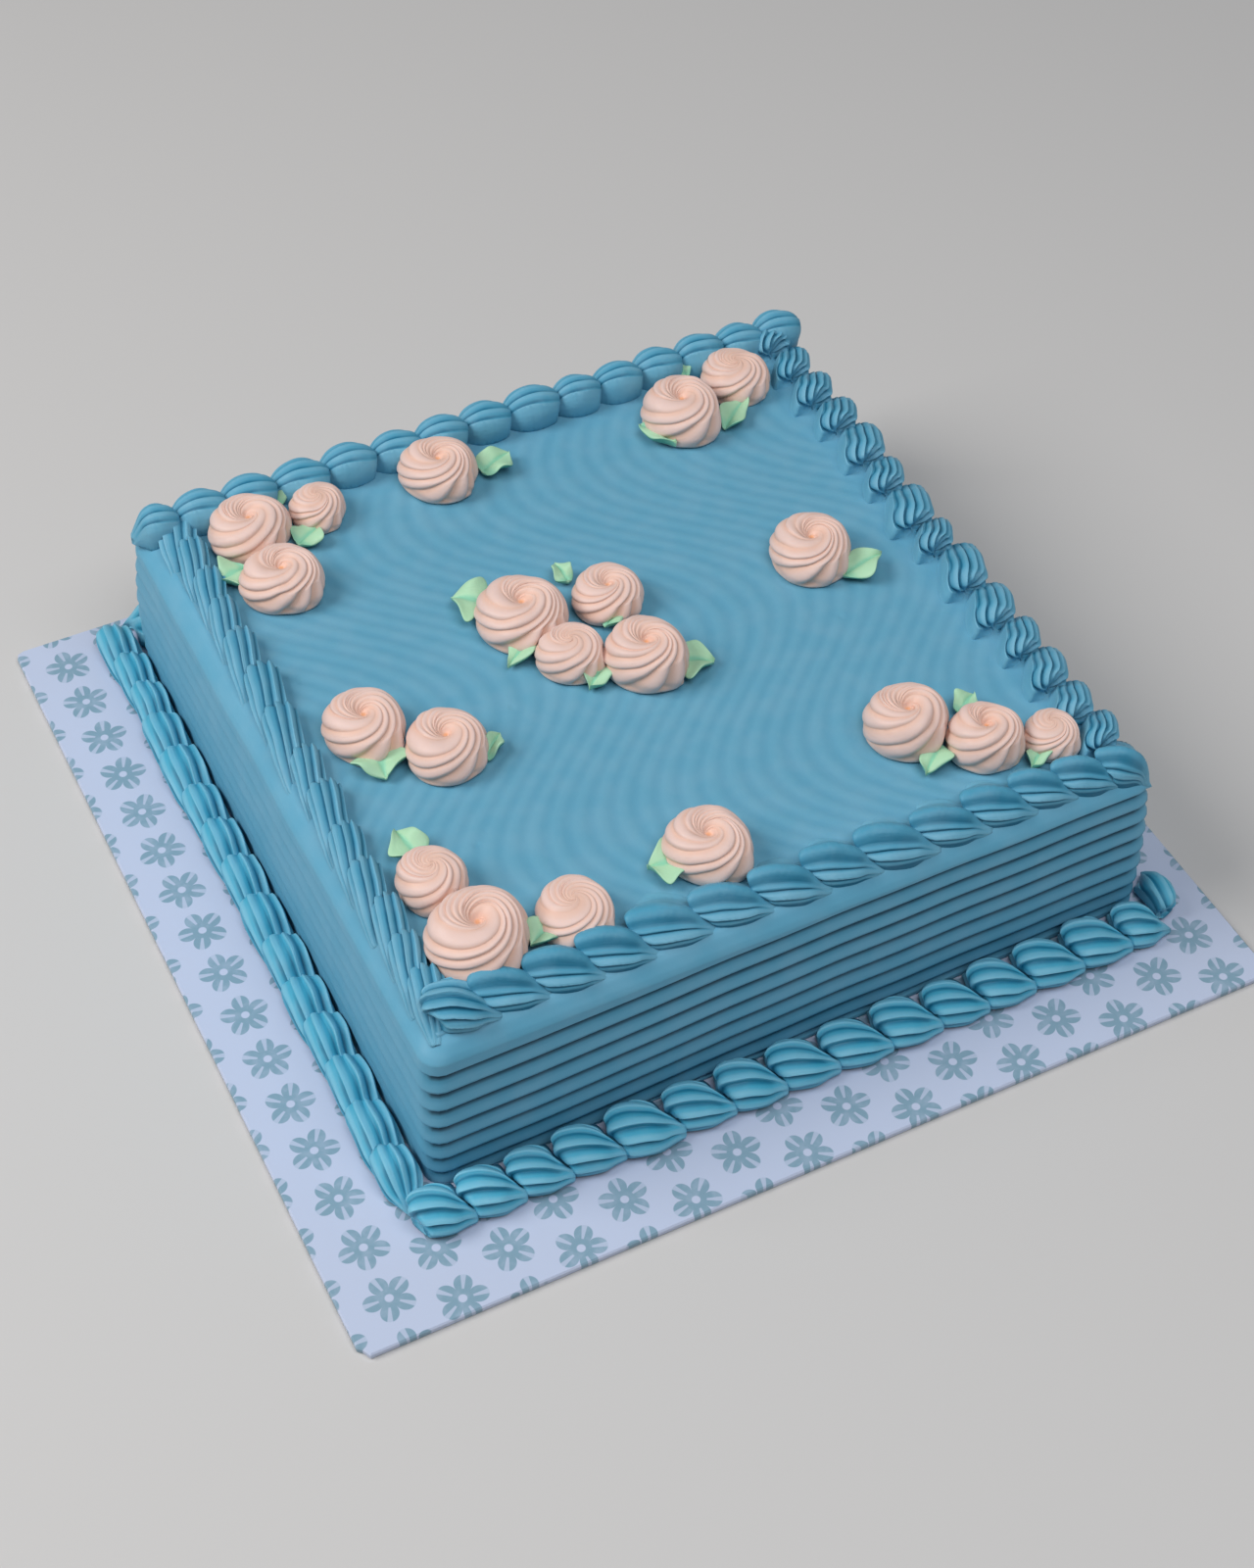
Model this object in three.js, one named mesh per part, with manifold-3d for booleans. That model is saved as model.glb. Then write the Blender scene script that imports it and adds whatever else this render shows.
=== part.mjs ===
// Ribbon cake on its board: a square cream-coated cake whose walls are combed into level ribs,
// with piped shell borders, rosettes of cream and piped leaves. Millimetres, +Z up.
// The origin is the middle of the board's underside. -Y is the front and -X the left side.
import * as THREE from "three";
import { mergeVertices } from "three/addons/utils/BufferGeometryUtils.js";
import Module from "manifold-3d";

const wasm = await Module();
wasm.setup();

// Clearance between pieces that touch
const GAP = 0.3;
const CUT_GAP = 0.35;

// Board
const BOARD_SIDE = 260;
const BOARD_THICKNESS = 2;
const BOARD_CORNER_RADIUS = 2.5;
const BOARD_EDGE_BEVEL = 0.4;
// The wrapping is folded over the near corner, which leaves these points instead of a round.
const FOLDED_CORNER = [[-130, -126.8], [-128.8, -127.9], [-127.8, -130]];

// Cake, measured from the middle of its foot
const CAKE_CENTRE = [7.5, 9.25];
const FOOT_HALF = 104;
const CAKE_HEIGHT = 50.7;
const WALL_TAPER = 0.042;
const WALL_BULGE = 1.2;
const CORNER_RADIUS = 5.5;
const CORNER_SEGMENTS = 1;
const SIDE_STEPS = 3;
const RIM_DROP = 2.4;
const RIM_SHOULDER = 0.7;
const RIM_RUN = 2.8;
const LEVELS_OF_RIM = 3;

// Comb marks: the heights of the grooves at the front's left end, and how they climb to its right end
const GROOVE_HEIGHTS = [4.1, 9.3, 15.9, 22.7, 29.7, 36.3, 43.2];
const GROOVE_DEPTHS = { front: 1.2, right: 1.0, back: 1.0, left: 0.4 };
const GROOVE_HALF_WIDTH = 0.8;
const GROOVE_CLIMB = 4.9;
const CLIMB_START = -80;
const CLIMB_BEND = 0.7;
// Marks that would climb past the rim are squeezed together below it and fade, as all do at the corners.
const MARK_SQUEEZE = 0.05;
const FADED_SHARE = 0.4;
const CORNER_SHARE = 0.5;

// Shell borders: where each shell starts along its side, seen from outside with left as minus
const TOP_BORDERS = {
  front: {
    starts: [-97.5, -85.5, -71.5, -57.5, -43.5, -27, -11, 3.5, 18.5, 34.5, 49.5, 63.5, 75, 86],
    from: 92.6, drift: 0, sweep: 8.6, radius: 6.2, height: 7.8, reach: 5.5, lastPitch: 9,
  },
  right: {
    starts: [-94, -81.5, -69, -55.5, -42.5, -27.5, -10.5, 1, 17, 30, 46, 59, 72, 85],
    from: 93.6, drift: 1.2, sweep: 8.4, radius: 6.5, height: 7.6, reach: 5, lastPitch: 13.5,
  },
  back: {
    starts: [-92, -79, -65.5, -52, -38.5, -25.3, -10, 4, 18, 32, 46, 60, 75.5],
    from: 95.2, drift: 0, sweep: 7.4, radius: 6.6, height: 8.6, reach: 4.5, lastPitch: 13.5,
  },
  left: {
    starts: [-101, -90, -77, -62, -47, -31, -15, 1, 14.5, 29.5, 43, 56, 68.5, 80],
    from: 91.6, drift: 0.8, sweep: 9.4, radius: 6.1, height: 6.8, reach: 8, lastPitch: 15,
  },
};
const BASE_SHELL_STARTS = [
  -112, -99.3, -86, -73, -58.6, -42.5, -27.8, -13.2, 2, 17.6, 32.5, 46.4, 60.8, 76, 91.4,
];
const BASE_BORDER = {
  starts: BASE_SHELL_STARTS,
  drift: 0, sweep: 0.6, radius: 7.2, height: 9.4, reach: 4.6, lastPitch: 13.5,
};
const SHELL_SIDES = 6;
const SHELL_RINGS = 5;
// Rings lie closer together at the round head than along the tail.
const SHELL_RING_BEND = 1.3;
// A shell swells as a sine whose place and fullness are bent by these powers.
const SWELL_PLACE = 0.75;
const SWELL_FULLNESS = 0.8;
// The level of a shell's widest line, as a share of its height
const SHELL_BELLY = 0.4;
const SHELL_TAIL_DROP = 0.45;
const SHELL_CREST_AT = 0.4;
const SWEEP_BEND = 1.5;
// The distance from shell to shell at which a shell has its border's own radius
const USUAL_PITCH = 14.3;
const SHELL_UNEVENNESS = 0.07;
const SHELL_STRAY = 0.6;
// Base shells lean back against this line of the wall, flattened a little by it.
const BASE_CLEAR_OF_WALL = FOOT_HALF + 0.7;
const BASE_FLATTENED = 0.6;

// Rosettes in the order they were piped: x, y, radius, height and whether the centre is open
const ROSETTES = [
  [-53.2, 83.2, 8.8, 7.4, false],
  [-73.6, 82.7, 12.4, 9.7, true],
  [-72.9, 60.0, 12.2, 9.6, true],
  [-16.8, 82.4, 12.0, 9.6, true],
  [78.0, 81.9, 11.0, 8.9, false],
  [56.4, 74.4, 12.7, 10.8, true],
  [61.7, 7.6, 12.5, 9.9, true],
  [3.8, 16.5, 10.7, 8.1, true],
  [-15.0, 0.2, 9.9, 8.7, false],
  [-20.7, 18.9, 13.3, 10.6, true],
  [2.3, -9.5, 12.2, 11.0, true],
  [-74.4, -0.4, 12.0, 9.8, true],
  [-58.3, -15.8, 11.9, 9.3, true],
  [83.2, -80.6, 8.2, 7.4, false],
  [51.5, -61.0, 12.0, 11.2, true],
  [66.8, -74.6, 10.6, 10.6, true],
  [-14.0, -75.4, 12.1, 9.8, true],
  [-79.9, -55.5, 9.9, 9.4, false],
  [-53.7, -79.2, 9.8, 7.6, false],
  [-77.3, -77.1, 14.0, 12.4, true],
];
const ROSETTE_RIDGES = 7;
const ROSETTE_RIDGE_DEPTH = 0.055;
const ROSETTE_TURN = 0.7;
// Inside this share of the radius the ridges have run together. The rim strays by the other share.
const RIDGES_END = 0.3;
const ROSETTE_STRAY = 0.03;

// Leaves: the base and the tip in plan, the width, the height of the base and of the tip
const LEAVES = [
  [-63.5, 72.5, -55.5, 76, 8, 1.6, 2.4],
  [-80, 69.5, -88.5, 67.5, 9.5, 2.4, 2.2],
  [-62, 90, -61, 96, 4, 1.6, 3],
  [-5.5, 77.5, 5, 81.5, 8.5, 1.8, 2.6],
  [66, 89, 64.5, 96.5, 6, 2, 3.6],
  [65.5, 64.5, 77.5, 73.5, 6, 1.4, 2.6],
  [43.6, 75.5, 49.4, 63.6, 5.5, 2.6, 2.0],
  [65.2, -4.2, 78.2, -2.8, 8, 1.6, 3.4],
  [-26, 28, -34.6, 34.4, 12, 2, 2.2],
  [-3, 26.5, -4, 33.6, 5, 1.6, 3],
  [-20, 11, -31.8, 4.2, 6, 2.4, 1.8],
  [-2, 6.5, 6, 10, 5, 2, 2.6],
  [-7.5, -6, -16, -12.5, 7, 2.2, 1.6],
  [8.5, -12.6, 18.6, -17.8, 10.5, 1.8, 1.4],
  [-75, -9, -76, -18.5, 11.5, 3, 1.8],
  [-50.6, -23, -43.8, -17.5, 4.5, 1.4, 3],
  [66.5, -62.8, 73.2, -59.2, 6, 1.8, 3],
  [56.2, -70.6, 47.5, -77.6, 7, 2.6, 1.8],
  [80, -83, 73, -87.5, 5, 2.4, 1.6],
  [-20.5, -77, -28.8, -73.2, 8.5, 2.6, 2.4],
  [-79.5, -46.5, -81.5, -36, 8, 2, 2.8],
  [-59.5, -79.5, -66.5, -85, 5, 2.6, 3.4],
];
const LEAF_THICKNESS = 0.8;
const LEAF_FOLD = 1.7;
const LEAF_WAVE = 0.5;
const LEAF_WAVES = 7;
const LEAF_STEPS = 3;
// A leaf is this share of its width at its base and tip, and full between.
const LEAF_NARROWEST = 0.12;
const LEAF_FULLNESS = 0.7;
// A leaf's middle line lies this far below the heights given for it.
const LEAF_SINK = 1;
// Rosettes whose centres are nearer than this past their edge can touch a leaf.
const LEAF_REACH = 12;

const MATERIALS = {
  board: new THREE.MeshStandardMaterial({ color: 0xb4bad8, roughness: 0.35, metalness: 0 }),
  coat: new THREE.MeshStandardMaterial({ color: 0x5f9dba, roughness: 0.5, metalness: 0 }),
  piping: new THREE.MeshStandardMaterial({ color: 0x3f93b8, roughness: 0.45, metalness: 0 }),
  rose: new THREE.MeshStandardMaterial({ color: 0xf2cdb8, roughness: 0.5, metalness: 0 }),
  leaf: new THREE.MeshStandardMaterial({ color: 0x8fcba8, roughness: 0.5, metalness: 0 }),
};
const SIDES = ["front", "right", "back", "left"];

// A repeatable draw from -1 to 1 for the number n
function unevenness(n) {
  const wave = Math.sin(n * 127.1 + 311.7) * 43758.5453;
  return 2 * (wave - Math.floor(wave)) - 1;
}

// The geometry with its vertices merged and each one moved by place(x, y, z), which returns [x, y, z]
function reshaped(geometry, place) {
  geometry.deleteAttribute("normal");
  geometry.deleteAttribute("uv");
  const merged = mergeVertices(geometry, 1e-4);
  const points = merged.getAttribute("position");
  for (let i = 0; i < points.count; i += 1) {
    points.setXYZ(i, ...place(points.getX(i), points.getY(i), points.getZ(i)));
  }
  return merged;
}

function solidFrom(geometry) {
  return new wasm.Manifold(
    new wasm.Mesh({
      numProp: 3,
      vertProperties: new Float32Array(geometry.getAttribute("position").array),
      triVerts: new Uint32Array(geometry.index.array),
    }),
  );
}

function geometryFrom(solid) {
  const mesh = solid.getMesh();
  const geometry = new THREE.BufferGeometry();
  geometry.setAttribute("position", new THREE.BufferAttribute(mesh.vertProperties, 3));
  geometry.setIndex(new THREE.BufferAttribute(mesh.triVerts, 1));
  return geometry;
}

// Cuts leave crumbs beside the piece: only the largest body is the piece.
function largestBody(solid) {
  return solid.decompose().reduce((best, body) => (body.volume() > best.volume() ? body : best));
}

function namedMesh(name, geometry, material) {
  geometry.computeVertexNormals();
  const mesh = new THREE.Mesh(geometry, material);
  mesh.name = name;
  return mesh;
}

function makeBoard() {
  const half = BOARD_SIDE / 2;
  const turn = half - BOARD_CORNER_RADIUS;
  const outline = new THREE.Shape();
  outline.moveTo(...FOLDED_CORNER[2]);
  outline.lineTo(turn, -half);
  outline.absarc(turn, -turn, BOARD_CORNER_RADIUS, -Math.PI / 2, 0);
  outline.lineTo(half, turn);
  outline.absarc(turn, turn, BOARD_CORNER_RADIUS, 0, Math.PI / 2);
  outline.lineTo(-turn, half);
  outline.absarc(-turn, turn, BOARD_CORNER_RADIUS, Math.PI / 2, Math.PI);
  outline.lineTo(...FOLDED_CORNER[0]);
  outline.lineTo(...FOLDED_CORNER[1]);
  const geometry = new THREE.ExtrudeGeometry(outline, {
    depth: BOARD_THICKNESS - 2 * BOARD_EDGE_BEVEL,
    bevelThickness: BOARD_EDGE_BEVEL,
    bevelSize: BOARD_EDGE_BEVEL,
    bevelOffset: -BOARD_EDGE_BEVEL,
    bevelSegments: 1,
    curveSegments: CORNER_SEGMENTS,
  });
  return reshaped(geometry, (x, y, z) => [x, y, z + BOARD_EDGE_BEVEL]);
}

function wallHalfAt(height) {
  return FOOT_HALF - WALL_TAPER * height + WALL_BULGE * Math.sin((Math.PI * height) / CAKE_HEIGHT);
}

// The side of the cake that a point in plan belongs to, and how far along it the point is
function sideAt(x, y) {
  if (-y >= Math.abs(x)) return { side: "front", along: x };
  if (x >= Math.abs(y)) return { side: "right", along: y };
  if (y >= Math.abs(x)) return { side: "back", along: -x };
  return { side: "left", along: -y };
}

// How far the comb marks have climbed: up along the front, and back down round the other three sides
function climbAt({ side, along }) {
  if (side === "front") {
    const share = Math.max(0, along - CLIMB_START) / (FOOT_HALF - CLIMB_START);
    return GROOVE_CLIMB * share ** CLIMB_BEND;
  }
  const travelled = SIDES.indexOf(side) - 1 + (along + FOOT_HALF) / (2 * FOOT_HALF);
  return GROOVE_CLIMB * (1 - Math.min(Math.max(travelled, 0), 3) / 3);
}

// Each level of the wall: its height, how far it is set in, and whether it belongs to a comb mark
function wallLevels() {
  const levels = [{ height: 0, inset: 0, comb: false }];
  for (const groove of GROOVE_HEIGHTS) {
    levels.push({ height: groove - GROOVE_HALF_WIDTH, inset: 0, comb: true });
    levels.push({ height: groove, inset: 1, comb: true });
    levels.push({ height: groove + GROOVE_HALF_WIDTH, inset: 0, comb: true });
  }
  levels.push({ height: CAKE_HEIGHT - RIM_DROP, inset: 0, comb: false });
  levels.push({ height: CAKE_HEIGHT - RIM_SHOULDER, inset: RIM_SHOULDER, comb: false });
  levels.push({ height: CAKE_HEIGHT, inset: RIM_RUN, comb: false });
  return levels;
}

// A square with round corners whose sides are divided, so that the comb marks can climb
function cakeOutline() {
  const flat = FOOT_HALF - CORNER_RADIUS;
  const outline = new THREE.Shape();
  outline.moveTo(-flat, -FOOT_HALF);
  for (let side = 0; side < 4; side += 1) {
    const turn = (side * Math.PI) / 2;
    const cos = Math.cos(turn);
    const sin = Math.sin(turn);
    for (let step = 1; step <= SIDE_STEPS; step += 1) {
      const along = flat * ((2 * step) / SIDE_STEPS - 1);
      outline.lineTo(along * cos + FOOT_HALF * sin, along * sin - FOOT_HALF * cos);
    }
    const [cx, cy] = [flat * cos + flat * sin, flat * sin - flat * cos];
    outline.absarc(cx, cy, CORNER_RADIUS, turn - Math.PI / 2, turn);
  }
  return outline;
}

function makeCake() {
  const levels = wallLevels();
  const steps = levels.length - 1;
  const geometry = new THREE.ExtrudeGeometry(cakeOutline(), {
    depth: steps,
    steps,
    bevelEnabled: false,
    curveSegments: CORNER_SEGMENTS,
  });
  const highestMark = CAKE_HEIGHT - RIM_DROP - GROOVE_HALF_WIDTH;
  return reshaped(geometry, (x, y, z) => {
    const number = Math.round(z);
    const level = levels[number];
    const place = sideAt(x, y);
    const atCorner = Math.abs(place.along) > FOOT_HALF - CORNER_RADIUS + 0.1;
    let height = level.height;
    let inset = level.inset;
    if (level.comb) {
      const climbed = level.height + climbAt(place);
      const levelsAbove = levels.length - LEVELS_OF_RIM - 1 - number;
      height = Math.min(climbed, highestMark - levelsAbove * MARK_SQUEEZE);
      const fading = (climbed > height ? FADED_SHARE : 1) * (atCorner ? CORNER_SHARE : 1);
      inset = level.inset * GROOVE_DEPTHS[place.side] * fading;
    }
    const scale = (wallHalfAt(height) - inset) / FOOT_HALF;
    return [x * scale, y * scale, height];
  });
}

// One shell, piped from a round head inside to a thin tail that sweeps outwards, on a level z = 0
// Along its side is +x and outwards is -y. grow makes it larger all round, as a cutter.
function shellSolid({ start, pitch, from, sweep, radius, height, reach, clearOf }, grow = 0) {
  const length = pitch + reach + 2 * grow;
  const geometry = new THREE.SphereGeometry(1, SHELL_SIDES, SHELL_RINGS);
  const shaped = reshaped(geometry, (x, y, z) => {
    const t = (Math.acos(THREE.MathUtils.clamp(y, -1, 1)) / Math.PI) ** SHELL_RING_BEND;
    const ring = Math.hypot(x, z) || 1;
    const atEnd = t < 0.001 || t > 0.999;
    const swell = atEnd ? 0 : Math.sin(Math.PI * t ** SWELL_PLACE) ** SWELL_FULLNESS;
    const wide = swell * (radius + grow);
    const behindCrest = Math.max(t - SHELL_CREST_AT, 0) / (1 - SHELL_CREST_AT);
    const tall = swell * (height + grow) * (1 - SHELL_TAIL_DROP * behindCrest);
    const along = start - grow + length * t;
    const outward = from + sweep * t ** SWEEP_BEND;
    const lean = Math.atan2(SWEEP_BEND * sweep * t ** (SWEEP_BEND - 1), length);
    const across = (-x / ring) * wide;
    const up = (SHELL_BELLY + (1 - SHELL_BELLY) * (z / ring)) * tall;
    const far = Math.max(outward + across * Math.cos(lean), clearOf - grow);
    return [along - across * Math.sin(lean), -far, Math.max(up, 0)];
  });
  return solidFrom(shaped);
}

// The shells of one side: their common sizes, each a little uneven
function shellsOf(border, seed, clearOf) {
  return border.starts.map((start, i) => {
    const next = border.starts[i + 1] ?? start + border.lastPitch;
    const pitch = next - start;
    const size = Math.sqrt(pitch / USUAL_PITCH);
    const draw = seed + 3 * i;
    const drifted = border.from + (border.drift * start) / FOOT_HALF;
    return {
      start,
      pitch,
      clearOf,
      from: drifted + SHELL_STRAY * unevenness(draw),
      sweep: border.sweep,
      radius: border.radius * size * (1 + SHELL_UNEVENNESS * unevenness(draw + 1)),
      height: border.height * (1 + SHELL_UNEVENNESS * unevenness(draw + 2)),
      reach: border.reach,
    };
  });
}

function joined(solids) {
  return solids.reduce((sum, solid) => sum.add(solid));
}

// The four runs of a border, turned to their sides. Each ends under the first two shells of the next run.
function borderRuns(runs) {
  const solids = runs.map((shells, i) => {
    const turned = (piped, grow) =>
      joined(piped.map((shell) => shellSolid(shell, grow))).rotate([0, 0, i * 90]);
    return {
      whole: turned(shells, 0),
      head: turned(shells.slice(0, 2), CUT_GAP),
      grown: turned(shells, CUT_GAP),
    };
  });
  return solids.map((run, i) => ({
    solid: largestBody(run.whole.subtract(solids[(i + 1) % 4].head)),
    grown: run.grown,
  }));
}

// One rosette: star-tip ridges that turn clockwise on their way out, and a hollow or closed centre
function rosetteSolid([x, y, radius, height, open], index, grow = 0) {
  const reach = radius + grow;
  const top = height + grow;
  const centre = open && grow === 0
    ? [[0.46, 1.02], [0.16, 0.84], [0, 0.78]]
    : [[0.46, 1], [0, 1.06]];
  const profile = [[0, 0], [0.88, 0], [0.97, 0.34], [0.82, 0.82], ...centre];
  const lathe = new THREE.LatheGeometry(
    profile.map(([out, up]) => new THREE.Vector2(out, up)),
    2 * ROSETTE_RIDGES,
  );
  const shaped = reshaped(lathe, (px, py, pz) => {
    const out = Math.hypot(px, pz);
    const column = Math.round((Math.atan2(pz, px) * ROSETTE_RIDGES) / Math.PI);
    const ridge = column % 2 === 0 ? 1 : -1;
    const angle = (column * Math.PI) / ROSETTE_RIDGES + ROSETTE_TURN * out + index;
    const lobe = 1 + ROSETTE_RIDGE_DEPTH * ridge * (out > RIDGES_END ? 1 : 0);
    const stray = 1 + ROSETTE_STRAY * Math.sin(angle + index);
    const far = out * reach * lobe * stray;
    return [far * Math.cos(angle), -far * Math.sin(angle), py * top];
  });
  return solidFrom(shaped).translate([x, y, 0]);
}

// One leaf: a thin sheet folded along its middle, with wavy edges and a point
// Both faces have the same triangles, so its thickness is even.
function leafSolid([x0, y0, x1, y1, width, z0, z1], index, grow = 0) {
  const sheet = new THREE.PlaneGeometry(1, 1, LEAF_STEPS, 2);
  const flat = sheet.getAttribute("position");
  const count = flat.count;
  const length = Math.hypot(x1 - x0, y1 - y0);
  const [dx, dy] = [(x1 - x0) / length, (y1 - y0) / length];
  const thick = LEAF_THICKNESS / 2 + grow;
  const points = [];
  for (const face of [1, -1]) {
    for (let i = 0; i < count; i += 1) {
      const t = flat.getX(i) + 0.5;
      const edge = 2 * flat.getY(i);
      const full = Math.sin(Math.PI * Math.min(0.18 + 0.86 * t, 1)) ** LEAF_FULLNESS;
      const share = LEAF_NARROWEST + (1 - LEAF_NARROWEST) * full;
      const across = edge * share * (width / 2 + grow);
      const along = t * (length + 2 * grow) - grow;
      const wave = LEAF_WAVE * Math.abs(edge) * Math.sin(LEAF_WAVES * t + index);
      const fold = LEAF_FOLD * Math.abs(edge) * Math.sin(Math.PI * (0.15 + 0.7 * t));
      const middle = z0 + (z1 - z0) * t - LEAF_SINK;
      const z = middle + fold + wave + face * thick;
      const lowest = face > 0 ? LEAF_THICKNESS : 0;
      points.push(x0 + dx * along - dy * across, y0 + dy * along + dx * across, Math.max(z, lowest));
    }
  }
  const triangles = [];
  const corners = sheet.index.array;
  for (let i = 0; i < corners.length; i += 3) {
    const [a, b, c] = [corners[i], corners[i + 1], corners[i + 2]];
    triangles.push(a, b, c);
    triangles.push(count + a, count + c, count + b);
  }
  for (const [a, b] of sheetRim(LEAF_STEPS, 2)) {
    triangles.push(a, count + a, b);
    triangles.push(b, count + a, count + b);
  }
  const geometry = new THREE.BufferGeometry();
  geometry.setAttribute("position", new THREE.Float32BufferAttribute(points, 3));
  geometry.setIndex(triangles);
  return solidFrom(geometry);
}

// The edges round a grid of steps by rows cells, in the order that faces them outwards
function sheetRim(steps, rows) {
  const at = (column, row) => row * (steps + 1) + column;
  const rim = [];
  for (let i = 0; i < steps; i += 1) rim.push(at(steps - i, 0));
  for (let i = 0; i < rows; i += 1) rim.push(at(0, i));
  for (let i = 0; i < steps; i += 1) rim.push(at(i, rows));
  for (let i = 0; i < rows; i += 1) rim.push(at(steps, rows - i));
  return rim.map((a, i) => [a, rim[(i + 1) % rim.length]]);
}

function near([xa, ya], [xb, yb], reach) {
  return Math.hypot(xa - xb, ya - yb) < reach;
}

// A rosette gives way to the ones piped after it and to the border that is piped over its edge.
function cutRosettes(borders) {
  return ROSETTES.map((rosette, i) => {
    let solid = rosetteSolid(rosette, i);
    ROSETTES.forEach((other, j) => {
      if (j > i && near(rosette, other, rosette[2] + other[2] + 1)) {
        solid = solid.subtract(rosetteSolid(other, j, CUT_GAP));
      }
    });
    for (const { grown } of borders) solid = solid.subtract(grown);
    return largestBody(solid);
  });
}

// A leaf grows from between the rosettes, so they and the border cut it.
function cutLeaves(borders) {
  const made = [];
  LEAVES.forEach((leaf, i) => {
    const middle = [(leaf[0] + leaf[2]) / 2, (leaf[1] + leaf[3]) / 2];
    let solid = leafSolid(leaf, i);
    ROSETTES.forEach((rosette, j) => {
      if (near(middle, rosette, rosette[2] + LEAF_REACH)) {
        solid = solid.subtract(rosetteSolid(rosette, j, CUT_GAP));
      }
    });
    for (const { grown } of borders) solid = solid.subtract(grown);
    made.push(largestBody(solid));
  });
  return made;
}

function numbered(name, index) {
  return `${name}_${String(index + 1).padStart(2, "0")}`;
}

function makeCakeGroup() {
  const group = new THREE.Group();
  group.position.set(...CAKE_CENTRE, BOARD_THICKNESS + GAP);
  group.add(namedMesh("cake", makeCake(), MATERIALS.coat));

  const baseFrom = BASE_CLEAR_OF_WALL + BASE_BORDER.radius - BASE_FLATTENED;
  const baseShells = SIDES.map((side, i) =>
    shellsOf({ ...BASE_BORDER, from: baseFrom }, 100 * i + 500, BASE_CLEAR_OF_WALL));
  borderRuns(baseShells).forEach(({ solid }, i) => {
    group.add(namedMesh(`base_border_${SIDES[i]}`, geometryFrom(solid), MATERIALS.piping));
  });

  const onTop = new THREE.Group();
  onTop.position.z = CAKE_HEIGHT + GAP;
  group.add(onTop);
  const topShells = SIDES.map((side, i) => shellsOf(TOP_BORDERS[side], 100 * i, 0));
  const borders = borderRuns(topShells);
  borders.forEach(({ solid }, i) => {
    onTop.add(namedMesh(`top_border_${SIDES[i]}`, geometryFrom(solid), MATERIALS.piping));
  });
  cutRosettes(borders).forEach((solid, i) => {
    onTop.add(namedMesh(numbered("rosette", i), geometryFrom(solid), MATERIALS.rose));
  });
  cutLeaves(borders).forEach((solid, i) => {
    onTop.add(namedMesh(numbered("leaf", i), geometryFrom(solid), MATERIALS.leaf));
  });
  return group;
}

const ribbonCake = new THREE.Group();
ribbonCake.add(namedMesh("board", makeBoard(), MATERIALS.board));
ribbonCake.add(makeCakeGroup());

export default ribbonCake;
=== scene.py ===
"""A square ribbon cake with piped borders, rosettes and leaves on a wrapped board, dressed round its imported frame."""

import logging
import math
from collections.abc import Callable
from dataclasses import dataclass, replace
from enum import Enum
from functools import lru_cache

import bmesh
import bpy
import numpy as np
from mathutils import Matrix, Vector


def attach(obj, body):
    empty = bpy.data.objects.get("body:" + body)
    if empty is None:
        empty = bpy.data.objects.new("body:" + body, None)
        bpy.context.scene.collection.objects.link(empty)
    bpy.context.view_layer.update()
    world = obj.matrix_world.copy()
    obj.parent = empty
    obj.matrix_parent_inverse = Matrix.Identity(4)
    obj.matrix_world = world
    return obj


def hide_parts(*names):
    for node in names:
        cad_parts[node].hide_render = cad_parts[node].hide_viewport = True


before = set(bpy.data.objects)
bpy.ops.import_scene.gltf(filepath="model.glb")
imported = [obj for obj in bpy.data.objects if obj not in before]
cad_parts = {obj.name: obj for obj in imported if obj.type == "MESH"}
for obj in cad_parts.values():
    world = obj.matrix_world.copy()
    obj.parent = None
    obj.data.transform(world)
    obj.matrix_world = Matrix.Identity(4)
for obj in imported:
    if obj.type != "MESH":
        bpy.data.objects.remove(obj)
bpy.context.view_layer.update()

LOG = logging.getLogger("ribbon_cake")
MM = 0.001
CAKE_CENTRE = (7.5, 9.25)
CAKE_UNDERSIDE = 2.3
CAKE_HEIGHT = 50.7
ON_TOP = CAKE_UNDERSIDE + 51.0
FOOT_HALF = 104.0

Shape = np.ndarray
Colour = tuple[float, float, float]


class Side(Enum):
    """The four sides of the cake, each turned a quarter round from the one before."""

    FRONT = 0
    RIGHT = 1
    BACK = 2
    LEFT = 3


def unevenness(number: float) -> float:
    """Returns the part's own repeatable stray number from -1 to 1 for a number."""
    wave = math.sin(number * 127.1 + 311.7) * 43758.5453
    return 2 * (wave - math.floor(wave)) - 1


def ease(low: float, high: float, value: Shape) -> Shape:
    """Returns a smooth rise from 0 at low to 1 at high.

    Args:
        low: Where the rise starts.
        high: Where it ends, which may lie below low for a fall.
        value: The numbers to place on it.

    Returns:
        The eased numbers.
    """
    part = np.clip((np.asarray(value, float) - low) / (high - low), 0, 1)
    return part * part * (3 - 2 * part)


def held_back(value: Shape, start: float, room: float) -> Shape:
    """Returns the numbers, with those past the start kept from passing it by more than the room."""
    return np.where(value > start, start + room * np.tanh((value - start) / room), value)


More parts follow.
